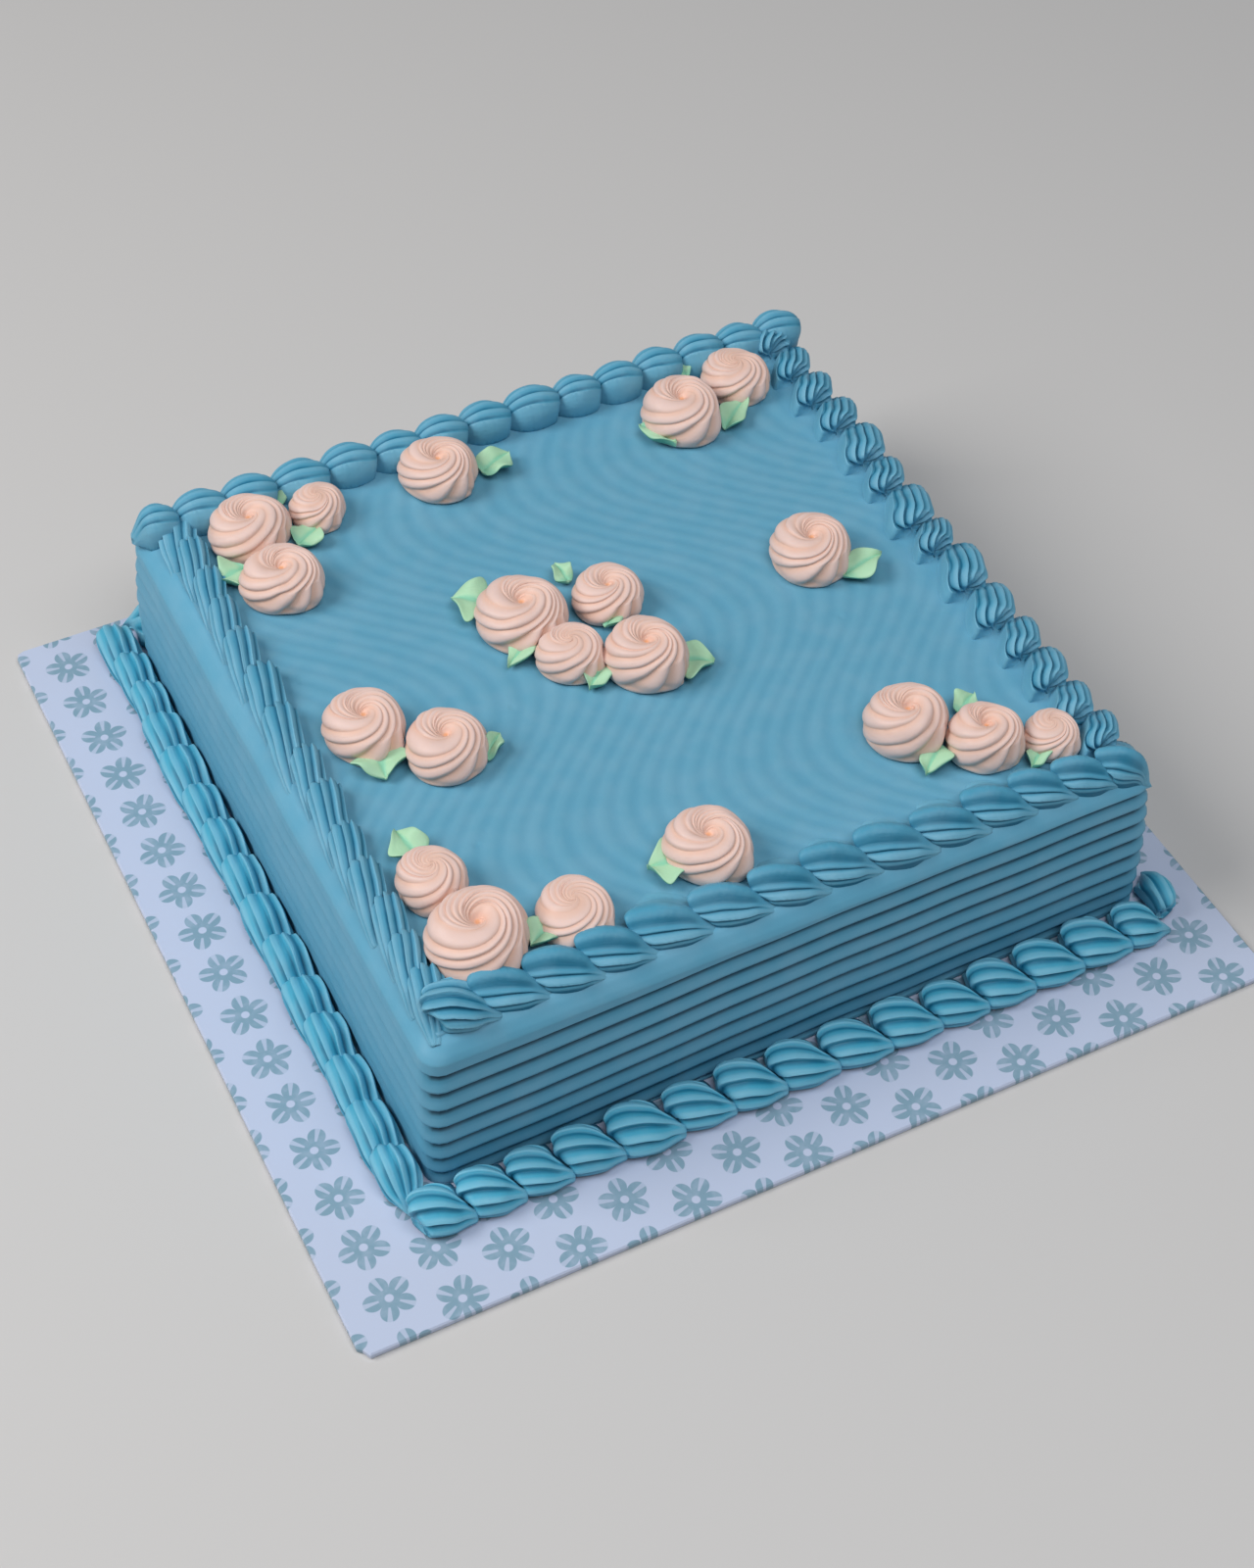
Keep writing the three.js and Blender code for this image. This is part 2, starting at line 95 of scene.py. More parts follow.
def curve_through(points: tuple[tuple[float, float], ...], share: Shape) -> tuple[Shape, Shape]:
    """Follows a smooth curve through points of a section.

    Args:
        points: The section's points in order.
        share: How far along the curve each wanted point lies, from 0 to 1.

    Returns:
        The two coordinates of each wanted point.
    """
    knots = np.array(points, float)
    ends = np.vstack([2 * knots[0] - knots[1], knots, 2 * knots[-1] - knots[-2]])
    gaps = np.hypot(*np.diff(knots, axis=0).T)
    reached = np.concatenate([[0], np.cumsum(gaps)]) / gaps.sum()
    share = np.clip(share, 0, 1)
    span = np.clip(np.searchsorted(reached, share, side="right") - 1, 0, len(gaps) - 1)
    t = ((share - reached[span]) / (reached[span + 1] - reached[span]))[..., None]
    a, b, c, d = (ends[span + step] for step in range(4))
    bend = 0.5 * (2 * b + (c - a) * t + (2 * a - 5 * b + 4 * c - d) * t**2 + (3 * b - a - 3 * c + d) * t**3)
    return bend[..., 0], bend[..., 1]


def ripple(x: Shape, y: Shape, z: Shape, size: float, seed: int) -> Shape:
    """Gives a soft unevenness of hand work over space.

    Args:
        x: Places across.
        y: Places along.
        z: Places up.
        size: The rough distance between its swells, in millimetres.
        seed: Which of many different fields to use.

    Returns:
        Numbers from about -1 to 1.
    """
    draw = np.random.default_rng(seed)
    total = 0.0
    for _ in range(7):
        turn = draw.normal(size=3)
        turn /= np.linalg.norm(turn)
        pace = 2 * math.pi / (size * draw.uniform(0.7, 1.6))
        total = total + np.sin(pace * (turn[0] * x + turn[1] * y + turn[2] * z) + draw.uniform(0, 2 * math.pi))
    return total / 3.2


class Value:
    """A shader output that takes part in Python arithmetic."""

    def __init__(self, graph: "Graph", socket: bpy.types.NodeSocket) -> None:
        """Keeps the output and the graph that holds it."""
        self.graph = graph
        self.socket = socket

    def maths(self, operation: str, *operands: "Value | float") -> "Value":
        """Adds one Math node.

        Args:
            operation: The node's operation.
            operands: Its inputs in order.

        Returns:
            Its output.
        """
        return self.graph.node("ShaderNodeMath", {"operation": operation}, dict(enumerate(operands)))

    def __add__(self, other: "Value | float") -> "Value":
        """Returns the sum."""
        return self.maths("ADD", self, other)

    __radd__ = __add__

    def __sub__(self, other: "Value | float") -> "Value":
        """Returns the difference."""
        return self.maths("SUBTRACT", self, other)

    def __rsub__(self, other: "Value | float") -> "Value":
        """Returns the reflected difference."""
        return self.maths("SUBTRACT", other, self)

    def __mul__(self, other: "Value | float") -> "Value":
        """Returns the product."""
        return self.maths("MULTIPLY", self, other)

    __rmul__ = __mul__

    def __truediv__(self, other: "Value | float") -> "Value":
        """Returns the quotient."""
        return self.maths("DIVIDE", self, other)

    def __rtruediv__(self, other: "Value | float") -> "Value":
        """Returns the reflected quotient."""
        return self.maths("DIVIDE", other, self)

    def __pow__(self, other: "Value | float") -> "Value":
        """Returns the power."""
        return self.maths("POWER", self, other)

    def __mod__(self, other: "Value | float") -> "Value":
        """Returns the remainder, never below nought."""
        return self.maths("FLOORED_MODULO", self, other)

    def __abs__(self) -> "Value":
        """Returns the size without its sign."""
        return self.maths("ABSOLUTE", self)

    def rise(self, low: float, high: float) -> "Value":
        """Returns a smooth rise from 0 at low to 1 at high."""
        settings = {"interpolation_type": "SMOOTHSTEP"}
        return self.graph.node("ShaderNodeMapRange", settings, {0: self, 1: low, 2: high})


class Graph:
    """A material's nodes, with the one method that adds to them."""

    def __init__(self, name: str) -> None:
        """Starts an empty material of that name."""
        self.material = bpy.data.materials.new(name)
        self.material.use_nodes = True
        self.tree = self.material.node_tree
        self.tree.nodes.clear()

    def node(self, kind: str, settings: dict | None = None, inputs: dict | None = None,
             output: int | str = 0) -> Value:
        """Adds a node.

        Args:
            kind: The node's type.
            settings: Its settings, set before its sockets.
            inputs: The value or link of each socket, by number or name.
            output: Which output to give back.

        Returns:
            That output.
        """
        made = self.tree.nodes.new(kind)
        for key, value in (settings or {}).items():
            setattr(made, key, value)
        for key, value in (inputs or {}).items():
            if isinstance(value, Value):
                self.tree.links.new(value.socket, made.inputs[key])
            else:
                made.inputs[key].default_value = value
        return Value(self, made.outputs[output] if made.outputs else None)

    def mix(self, factor: "Value | float", first: "Value | Colour", second: "Value | Colour") -> Value:
        """Mixes two colours.

        Args:
            factor: How much of the second.
            first: The colour at nought.
            second: The colour at one.

        Returns:
            The mixed colour.
        """
        full = [c if isinstance(c, Value) else (*c, 1) for c in (first, second)]
        return self.node("ShaderNodeMix", {"data_type": "RGBA"}, {0: factor, 6: full[0], 7: full[1]}, 2)

    def place(self) -> Value:
        """Returns where the surface point is on the object."""
        return self.node("ShaderNodeTexCoord", output="Object")

    def attribute(self, name: str, output: str = "Fac") -> Value:
        """Returns a named attribute of the mesh."""
        return self.node("ShaderNodeAttribute", {"attribute_name": name}, output=output)

    def cloud(self, where: Value, scale: float, detail: float = 2.0) -> Value:
        """Returns a noise texture's value.

        Args:
            where: The coordinates it reads.
            scale: How many swells to a unit.
            detail: How many finer layers.

        Returns:
            The noise.
        """
        return self.node("ShaderNodeTexNoise", None, {"Vector": where, "Scale": scale, "Detail": detail}, "Fac")

    def bump(self, height: Value, distance: float) -> Value:
        """Returns a normal bent by a height that is in units of distance."""
        return self.node("ShaderNodeBump", None, {"Height": height, "Distance": distance, "Strength": 1.0})

    def surface(self, inputs: dict) -> bpy.types.Material:
        """Ends the graph in one shader with these inputs and returns the material."""
        shader = self.node("ShaderNodeBsdfPrincipled", None, inputs)
        self.node("ShaderNodeOutputMaterial", None, {"Surface": shader})
        return self.material


@dataclass(frozen=True)
class CreamFinish:
    """Whipped cream: its plain colour with a painted highlight on crests and painted shade in grooves and hollows, with
    a faint cloud over it and streaks of the tip.
    """

    name: str
    # crest is the cream with a painted highlight, shown where there is no painted shade; body is the plain cream
    crest: Colour
    body: Colour
    # the colour of the painted shade, deepest in grooves, creases and hollows
    hollow: Colour
    roughness: float = 0.5
    glow: float = 0.12
    streaks: float = 0.0
    grain: float = 0.00005
    mottle: float = 0.12

    def material(self) -> bpy.types.Material:
        """Builds the finish.

        Returns:
            Its material.
        """
        graph = Graph(self.name)
        where = graph.place()
        # the mesh attribute says how much painted shade each point gets; a faint random mottle is added to it
        hollow = graph.attribute("hollow")
        cloud = graph.cloud(where, 45.0, 3.0)
        fine = graph.cloud(where, 900.0, 3.0)
        depth = hollow + (cloud - 0.5) * self.mottle
        # painted highlight at nought, the plain cream in between, painted shade at the deepest
        colour = graph.mix(depth.rise(0.0, 0.42), self.crest, self.body)
        colour = graph.mix(depth.rise(0.42, 1.05), colour, self.hollow)
        tint = graph.mix(graph.cloud(where, 130.0, 2.0).rise(0.3, 0.75) * 0.03, colour, (1.0, 1.0, 1.0))
        height = fine * 0.6 + graph.cloud(where, 260.0, 2.0)
        if self.streaks:
            stroke = graph.attribute("stroke", "Vector")
            height = height + graph.cloud(stroke, 1.0, 3.0) * self.streaks
        return graph.surface({
            "Base Color": tint,
            "Roughness": self.roughness + (fine - 0.5) * 0.18,
            "Normal": graph.bump(height, self.grain),
            "Subsurface Weight": self.glow,
            "Subsurface Radius": (1.0, 0.8, 0.6),
            "Subsurface Scale": 0.002,
            "Specular IOR Level": 0.35,
        })


@dataclass(frozen=True)
class WrappedBoardFinish:
    """Satin paper round a board: a pale ground with printed five-petal blossoms in half-drop rows, in metres."""

    name: str = "printed_wrap"
    ground: Colour = (0.53, 0.60, 0.77)
    print_ink: Colour = (0.22, 0.36, 0.46)
    card: Colour = (0.42, 0.40, 0.38)
    pitch: float = 0.0157
    petals: int = 5
    reach: float = 0.0066
    heart: float = 0.0011
    vein_start: float = 0.0026
    turned_under: float = 0.118

    def material(self) -> bpy.types.Material:
        """Builds the finish.

        Returns:
            Its material.
        """
        graph = Graph(self.name)
        where = graph.place()
        parts = [graph.node("ShaderNodeSeparateXYZ", None, {0: where}, axis) for axis in range(3)]
        crosswise = parts[0] / self.pitch
        column = crosswise.maths("FLOOR", crosswise)
        across = crosswise - column - 0.5
        lengthwise = parts[1] / self.pitch + (column % 2.0) * 0.5
        row = lengthwise.maths("FLOOR", lengthwise)
        along = lengthwise - row - 0.5
        away = (across * across + along * along) ** 0.5 * self.pitch
        angle = along.maths("ARCTAN2", along, across) + column * 0.7 + row * 1.1
        lobe = abs(angle.maths("COSINE", angle * (self.petals / 2)))
        edge = self.reach * (0.42 + 0.58 * lobe ** 0.55)
        petal = (edge - away).rise(-0.00018, 0.00018)
        heart = (away - self.heart).rise(-0.00015, 0.00015)
        vein = (abs(lobe - 1.0) - 0.035).rise(-0.01, 0.012)
        ring = (away - self.vein_start).rise(-0.0001, 0.0002)
        ink = petal * heart * (1 - (1 - vein) * ring * 0.75)
        worn = graph.cloud(where, 300.0, 3.0).rise(0.25, 0.6) * 0.25 + 0.75
        colour = graph.mix(ink * worn, self.ground, self.print_ink)
        under = (parts[2] * -1.0 + 0.0002).rise(0.0, 0.0001)
        margin = (parts[0].maths("MAXIMUM", abs(parts[0]), abs(parts[1])) - self.turned_under).rise(0.0, 0.0002)
        colour = graph.mix(under * (1 - margin), colour, self.card)
        grain = graph.cloud(where, 1800.0, 2.0)
        return graph.surface({
            "Base Color": colour,
            "Roughness": 0.38 + (grain - 0.5) * 0.15 + ink * 0.08,
            "Normal": graph.bump(graph.cloud(where, 60.0, 2.0) + grain * 0.05, 0.0002),
            "Coat Weight": 0.15,
            "Coat Roughness": 0.3,
        })


@dataclass(frozen=True)
class FloorFinish:
    """A plain pale studio floor."""

    name: str = "pale_floor"
    colour: Colour = (0.60, 0.59, 0.58)

    def material(self) -> bpy.types.Material:
        """Builds the finish.

        Returns:
            Its material.
        """
        graph = Graph(self.name)
        cloud = graph.cloud(graph.place(), 3.0, 3.0)
        colour = graph.mix(cloud * 0.1, self.colour, (0.5, 0.49, 0.48))
        return graph.surface({"Base Color": colour, "Roughness": 0.75})


@lru_cache(maxsize=None)
def ball(round_steps: int, rings: int) -> tuple[bpy.types.Mesh, Shape]:
    """Gives a unit ball to reshape, made once for each fineness.

    Args:
        round_steps: Its steps round the axis.
        rings: Its steps from pole to pole.

    Returns:
        Its mesh and its points, one row each.
    """
    work = bmesh.new()
    bmesh.ops.create_uvsphere(work, u_segments=round_steps, v_segments=rings, radius=1)
    mesh = bpy.data.meshes.new(f"unit_ball_{round_steps}_{rings}")
    points = np.array([v.co for v in work.verts], float)
    work.to_mesh(mesh)
    work.free()
    return mesh, points


class Body:
    """A mesh in the making, in millimetres, with the painted shade and stroke of each point."""

    def __init__(self) -> None:
        """Starts empty."""
        self.work = bmesh.new()
        self.points: list[Shape] = []
        self.hollow: list[Shape] = []
        self.stroke: list[Shape] = []

    def add_ball(self, round_steps: int, rings: int) -> Shape:
        """Adds a unit ball and returns its points, which are then placed with set_points."""
        mesh, points = ball(round_steps, rings)
        self.work.from_mesh(mesh)
        return points

    def set_points(self, points: Shape, hollow: Shape, stroke: Shape | None = None) -> None:
        """Places the vertices added since the last call.

        Args:
            points: Their places in millimetres, one row each.
            hollow: How much painted shade each gets in grooves, creases and other hollows, from 0 to 1.
            stroke: Each one's place on the tip's stroke.
        """
        self.points.append(points)
        self.hollow.append(hollow)
        self.stroke.append(np.zeros((len(points), 3)) if stroke is None else stroke)

    def finish(self, name: str, material: bpy.types.Material, slot: str, nodes: tuple[str, ...]) -> bpy.types.Object:
        """Turns the body into a dressed piece in the frame.

        Args:
            name: The piece's name.
            material: Its finish.
            slot: The record's slot of that finish; not used.
            nodes: The CAD nodes it stands for.

        Returns:
            The piece's object.
        """
        mesh = bpy.data.meshes.new(name)
        self.work.to_mesh(mesh)
        self.work.free()
        mesh.vertices.foreach_set("co", (np.vstack(self.points) * MM).astype(np.float32).ravel())
        # the painted shade is kept as a point attribute that the cream finishes read
        deep = mesh.attributes.new("hollow", "FLOAT", "POINT")
        deep.data.foreach_set("value", np.concatenate(self.hollow).astype(np.float32))
        drawn = mesh.attributes.new("stroke", "FLOAT_VECTOR", "POINT")
        drawn.data.foreach_set("vector", np.vstack(self.stroke).astype(np.float32).ravel())
        work = bmesh.new()
        work.from_mesh(mesh)
        bmesh.ops.recalc_face_normals(work, faces=work.faces)
        for face in work.faces:
            face.smooth = True
        work.to_mesh(mesh)
        work.free()
        mesh.materials.append(material)
        made = bpy.data.objects.new(name, mesh)
        bpy.context.scene.collection.objects.link(made)
        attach(made, "root")
        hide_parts(*nodes)
        LOG.info("%s: %d faces", name, len(mesh.polygons))
        return made


def turned(points: Shape, side: Side) -> Shape:
    """Turns points built for the front to their own side and puts them at the cake's place.

    Args:
        points: Rows along, outward towards the front as negative y, and up, from the cake's centre.
        side: The side they belong to.

    Returns:
        The rows in the object's frame.
    """
    angle = side.value * math.pi / 2
    cos, sin = round(math.cos(angle)), round(math.sin(angle))
    x, y, z = points.T
    return np.column_stack([x * cos - y * sin + CAKE_CENTRE[0], x * sin + y * cos + CAKE_CENTRE[1], z])


@dataclass
class CakeCoat:
    """The cream coat: ribboned walls with climbing comb marks, and a top combed in waves.

    The walls end in a bevel, rim_drop high and rim_run wide, and a lid of a few rows that go inward and down under
    the top. Each comb mark has a height at its start and a climb, and each side has its own depth of mark.
    """

    finish: CreamFinish
    top_finish: CreamFinish
    corner_radius: float = 5.5
    taper: float = 0.042
    bulge: float = 1.2
    groove_heights: tuple[float, ...] = (-1.2, 4.9, 11.0, 17.3, 23.8, 30.0, 36.2, 42.5)
    groove_climbs: tuple[float, ...] = (5.8, 5.4, 5.5, 5.6, 5.1, 4.7, 3.9, 3.2)
    front_climb: tuple[tuple[float, ...], ...] = (
        (-104, -75, -57, -22, 9, 35, 60, 92, 104), (0, 0.06, 0.2, 0.55, 0.76, 0.83, 0.92, 1, 1))
    groove_depths: tuple[float, ...] = (2.3, 1.8, 1.8, 0.3)
    highest_mark: float = 45.75
    rim_drop: float = 4.8
    rim_run: float = 4.2
    rim_bend: float = 0.7
    bevel_rows: int = 9
    lid_inward: tuple[float, ...] = (0.0, 4.0, 5.2, 8.0)
    lid_drop: tuple[float, ...] = (0.0, 0.05, 0.9, 2.2)
    swell: float = 0.16
    band_rows: int = 11
    band_spacing: tuple[float, ...] = (0.0, 0.03, 0.06, 0.14, 0.27, 0.41, 0.54, 0.66, 0.77, 0.88, 0.96, 1.0)
    columns: int = 416
    wave_pitch: float = 6.25
    wave_sway: float = 22.0
    wave_height: float = 0.085
    wave_start: float = 5.9
    top_half: float = 97.0
    top_steps: int = 236
    top_skirt: float = 2.4
    top_swell: float = 0.22
    pits: tuple[tuple[float, float], ...] = ((-82, 25), (-36, -8), (58, -16), (-64, -47))

    def wall_half(self, height: Shape) -> Shape:
        """Returns how far the wall stands from the centre at a height above the cake's underside."""
        return FOOT_HALF - self.taper * height + self.bulge * np.sin(math.pi * height / CAKE_HEIGHT)

    def climbed(self, side: Shape, along: Shape) -> Shape:
        """Gives how far the comb marks have climbed.

        Args:
            side: The side's number of each point.
            along: How far along its side it is.

        Returns:
            The share of each mark's climb, from 0 to 1.
        """
        rising = np.interp(along, *self.front_climb)
        falling = 1 - (side - 1 + (along + FOOT_HALF) / (2 * FOOT_HALF)) / 3
        return np.where(side < 0.5, rising, falling)

    def walls(self) -> bpy.types.Object:
        """Builds the ribboned walls.

        Returns:
            Their object.
        """
        body = Body()
        work = body.work
        ring = bmesh.ops.create_circle(work, segments=self.columns, radius=1, cap_ends=False)
        edges = list({edge for vert in ring["verts"] for edge in vert.link_edges})
        for row in range(1, self.rim_start() + self.bevel_rows + len(self.lid_drop)):
            made = bmesh.ops.extrude_edge_only(work, edges=edges)["geom"]
            edges = [g for g in made if isinstance(g, bmesh.types.BMEdge)]
            for vert in (g for g in made if isinstance(g, bmesh.types.BMVert)):
                vert.co.z = row
        bmesh.ops.contextual_create(work, geom=edges)
        lowest = {edge for vert in ring["verts"] for edge in vert.link_edges if edge.is_boundary}
        bmesh.ops.contextual_create(work, geom=list(lowest))
        spots = np.array([v.co for v in work.verts], float)
        row = np.round(spots[:, 2])
        share = (np.arctan2(spots[:, 1], spots[:, 0]) / (2 * math.pi) + 0.625) % 1.0
        side = np.floor(share * 4 + 1e-9) % 4
        local = (share * 4) % 1.0
        radius, flat = self.corner_radius, FOOT_HALF - self.corner_radius
        arc = radius * math.pi / 4
        walk = (local - 0.5) * 2 * (flat + arc)
        along = np.clip(walk, -flat, flat)
        lean = np.clip((np.abs(walk) - flat) / radius, 0, None) * np.sign(walk)
        heights, relief, deep = self.heights_at(row, side, along + np.sin(lean) * radius)
        half = self.wall_half(np.clip(heights, 0, CAKE_HEIGHT)) + relief
        inward = self.rim_inward(row)
        x = along * (half - radius) / flat + np.sin(lean) * radius
        y = -(half - radius + np.cos(lean) * radius)
        corner = np.abs(lean) > 0
        x = np.where(corner, np.sign(lean) * (half - radius) + np.sin(lean) * radius, x)
        squeeze = (half - inward) / half
        x, y = x * squeeze, y * squeeze
        points = np.column_stack([x, y, heights])
        placed = np.zeros_like(points)
        for one in Side:
            chosen = side == one.value
            placed[chosen] = turned(points[chosen], one)
        swell = ripple(*placed.T, 34.0, 5) * self.swell
        away = placed[:, :2] - np.array(CAKE_CENTRE)
        placed[:, :2] += away / np.linalg.norm(away, axis=1)[:, None] * swell[:, None]
        placed[:, 2] += CAKE_UNDERSIDE
        # deep is the painted shade under the lips of the comb marks
        body.set_points(placed, deep)
        return body.finish("coat_walls", self.finish.material(), "coat", ("cake",))

    def rim_start(self) -> int:
        """Returns the number of the row where the walls end and the rim starts."""
        return (len(self.groove_heights) + 1) * self.band_rows

    def heights_at(self, row: Shape, side: Shape, along: Shape) -> tuple[Shape, Shape, Shape]:
        """Places each row of the walls between the comb marks.

        Args:
            row: The row's number.
            side: The side's number.
            along: How far along its side the point is.

        Returns:
            Its height, how far it stands out, and how much painted shade it gets in a mark.
        """
        up = self.climbed(side, along)
        marks = np.array(self.groove_heights)[:, None] + np.array(self.groove_climbs)[:, None] * up
        marks = np.clip(marks, 0.1 * np.arange(1, len(marks) + 1)[:, None], self.highest_mark)
        edges = np.vstack([np.zeros_like(up), marks, np.full_like(up, CAKE_HEIGHT - self.rim_drop)])
        bands = len(edges) - 1
        band = np.clip(np.floor(row / self.band_rows), 0, bands - 1).astype(int)
        part = np.clip(row / self.band_rows - band, 0, 1)
        part = np.interp(part, np.linspace(0, 1, self.band_rows + 1), self.band_spacing)
        pick = np.arange(len(row))
        low, high = edges[band, pick], edges[band + 1, pick]
        height = low + (high - low) * part
        sunk = 0.10 * part + 0.90 * part**1.7
        sunk = np.maximum(sunk, ease(0.05, 0.0, part) ** 0.5 * 0.9)
        depths = np.array(self.groove_depths)
        turn = ease(-FOOT_HALF, -FOOT_HALF + 8, along)
        number = side.astype(int)
        depth = depths[(number - 1) % 4] * (1 - turn) * 0.5 + depths[number] * (0.5 + 0.5 * turn)
        plain = band == bands - 1
        sunk = np.where((band == 0) & (part < 0.5), 0.1 * part, sunk)
        sunk = np.where(plain & (part > 0.05), 0.0, sunk)
        shade = np.clip(depth / 1.5, 0, 1)
        # painted shade: strong in the upper part of each band under the lip above, and at its foot by the groove, less
        # where the marks are shallow; the plain top band gets it only at its foot
        deep = np.maximum(ease(0.25, 0.8, np.where(plain, 0.0, part)) ** 1.5, ease(0.05, 0.0, part)) * shade
        rim_row = row - self.rim_start()
        lift = self.rim_drop * np.clip(rim_row, 0, self.bevel_rows) / self.bevel_rows
        lift = lift - self.rim_bend * np.clip(lift / self.rim_drop - 0.75, 0, 1)
        height = np.where(rim_row > 0, CAKE_HEIGHT - self.rim_drop + lift, height)
        lid = np.interp(rim_row - self.bevel_rows, np.arange(len(self.lid_drop)), self.lid_drop)
        height = np.where(rim_row > self.bevel_rows, CAKE_HEIGHT - lid, height)
        return height, np.where(rim_row > 0, 0, -depth * sunk), np.where(rim_row > 0, 0, deep)

    def rim_inward(self, row: Shape) -> Shape:
        """Returns how far inside the wall each row of the rim lies."""
        rim_row = row - self.rim_start()
        part = np.clip(rim_row, 0, self.bevel_rows) / self.bevel_rows
        turned_in = self.rim_run * (part - 0.10 * ease(0.0, 0.3, part) * ease(1.0, 0.7, part))
        return turned_in + np.interp(rim_row - self.bevel_rows, np.arange(len(self.lid_inward)), self.lid_inward)

    def sway(self, y: Shape) -> Shape:
        """Returns how far the comb's waves swing sideways at a distance towards the back."""
        back = self.wave_sway * np.cos(math.pi * (y - 1) / 66)
        front = self.wave_sway - 21.5 * (1 - np.cos(math.pi * (1 - y) / 61))
        return np.where(y >= 1, back, front)

    def top(self) -> bpy.types.Object:
        """Builds the combed top.

        Returns:
            Its object.
        """
        body = Body()
        work = body.work
        bmesh.ops.create_grid(work, x_segments=self.top_steps, y_segments=self.top_steps, size=self.top_half)
        rim = [edge for edge in work.edges if edge.is_boundary]
        made = bmesh.ops.extrude_edge_only(work, edges=rim)["geom"]
        for vert in (g for g in made if isinstance(g, bmesh.types.BMVert)):
            vert.co.z = -self.top_skirt
        bmesh.ops.contextual_create(work, geom=[g for g in made if isinstance(g, bmesh.types.BMEdge)])
        spots = np.array([v.co for v in work.verts], float)
        x, y, z = spots.T
        phase = 2 * math.pi * (x - self.sway(y) - self.wave_start) / self.wave_pitch
        fade = ease(92, 80, y) * ease(94, 84, np.abs(x)) * ease(-94, -84, y)
        pits = sum(np.exp(-((x - px) ** 2 + (y - py) ** 2) / 0.5) for px, py in self.pits) * 0.5
        surface = np.cos(phase) * self.wave_height * fade + ripple(x, y, z, 46.0, 9) * self.top_swell - pits
        surface = CAKE_UNDERSIDE + CAKE_HEIGHT - 0.1 + np.where(z > -1, surface, z)
        points = np.column_stack([x + CAKE_CENTRE[0], y + CAKE_CENTRE[1], surface])
        # painted shade in the troughs of the combed waves, and an even share of it on the skirt
        body.set_points(points, np.where(z > -1, 0.18 - 0.18 * np.cos(phase) * fade, 0.2))
        return body.finish("coat_top", self.top_finish.material(), "coat", ("cake",))


@dataclass(frozen=True)
class TipSection:
    """The rope's section from the inner foot over the top to the outer foot.

    Each knot is how far outward it lies, how far up, and how deep in a groove, which is also its painted shade. A shell
    has some columns under it, and its plain section is smoothed over as many columns to each side as smoothed says.
    """

    knots: tuple[tuple[float, float, float], ...]
    under: int = 10
    smoothed: int = 12

    @classmethod
    def star(cls, teeth: tuple[tuple[float, float], ...],
             foot: tuple[tuple[float, float, float], ...] = ((-0.94, 0.2, 0.5),)) -> "TipSection":
        """Draws the section of a star tip: sharp crests, each undercut below, with a face rising to the next.

        Args:
            teeth: Each crest's angle, nought outward and 90 up, and how far its undercut sinks.
            foot: The knots of the inner side below the first crest.

        Returns:
            The section.
        """
        steps = ((0.0, 0.0), (0.03, 0.3), (0.08, 0.75), (0.16, 1.0), (0.28, 0.93), (0.45, 0.68), (0.62, 0.40),
                 (0.78, 0.18), (0.91, 0.04))
        knots = list(foot)
        for (high, depth), (low, _) in zip(teeth, teeth[1:]):
            for share, sunk in steps:
                angle, kept = math.radians(high + (low - high) * share), 1 - depth * sunk
                # the sink is also the knot's painted shade, darkest just under each crest
                knots.append((math.cos(angle) * kept, 0.4 + 0.6 * math.sin(angle) * kept, sunk))
        angle = math.radians(teeth[-1][0])
        knots.append((math.cos(angle), 0.4 + 0.6 * math.sin(angle), 0.0))
        knots.append((math.cos(angle) * 0.9, 0.0, 1.0))
        return cls(tuple(knots))

    def columns(self) -> tuple[Shape, Shape, Shape, Shape, Shape]:
        """Lays the columns of a shell over the section, two to a knot, and back under it.

        Returns:
            How far outward and up each lies, its depth in a groove, which is also its painted shade, and the same two
            of the section without its grooves.
        """
        knots = np.array(self.knots)
        gaps = np.hypot(*np.diff(knots[:, :2], axis=0).T)
        reached = np.concatenate([[0], np.cumsum(gaps)]) / gaps.sum()
        share = np.interp(np.arange(0, len(knots) - 1, 0.5), np.arange(len(knots)), reached)
        out, up = curve_through(tuple((a, b) for a, b, _ in self.knots), share)
        deep = np.interp(share, reached, knots[:, 2])
        back = np.linspace(1, 0, self.under + 1)[:-1]
        out = np.concatenate([out, out[0] + (out[-1] - out[0]) * back])
        up = np.concatenate([up, up[0] * (1 - back) + up[-1] * back])
        deep = np.concatenate([deep, np.zeros(self.under)])
        spread = np.hanning(2 * self.smoothed + 1)
        around = np.arange(len(out))[:, None] + np.arange(-self.smoothed, self.smoothed + 1)
        plain_out, plain_up = ((line[around % len(out)] * spread).sum(1) / spread.sum() for line in (out, up))
        return out, up, deep, plain_out, plain_up


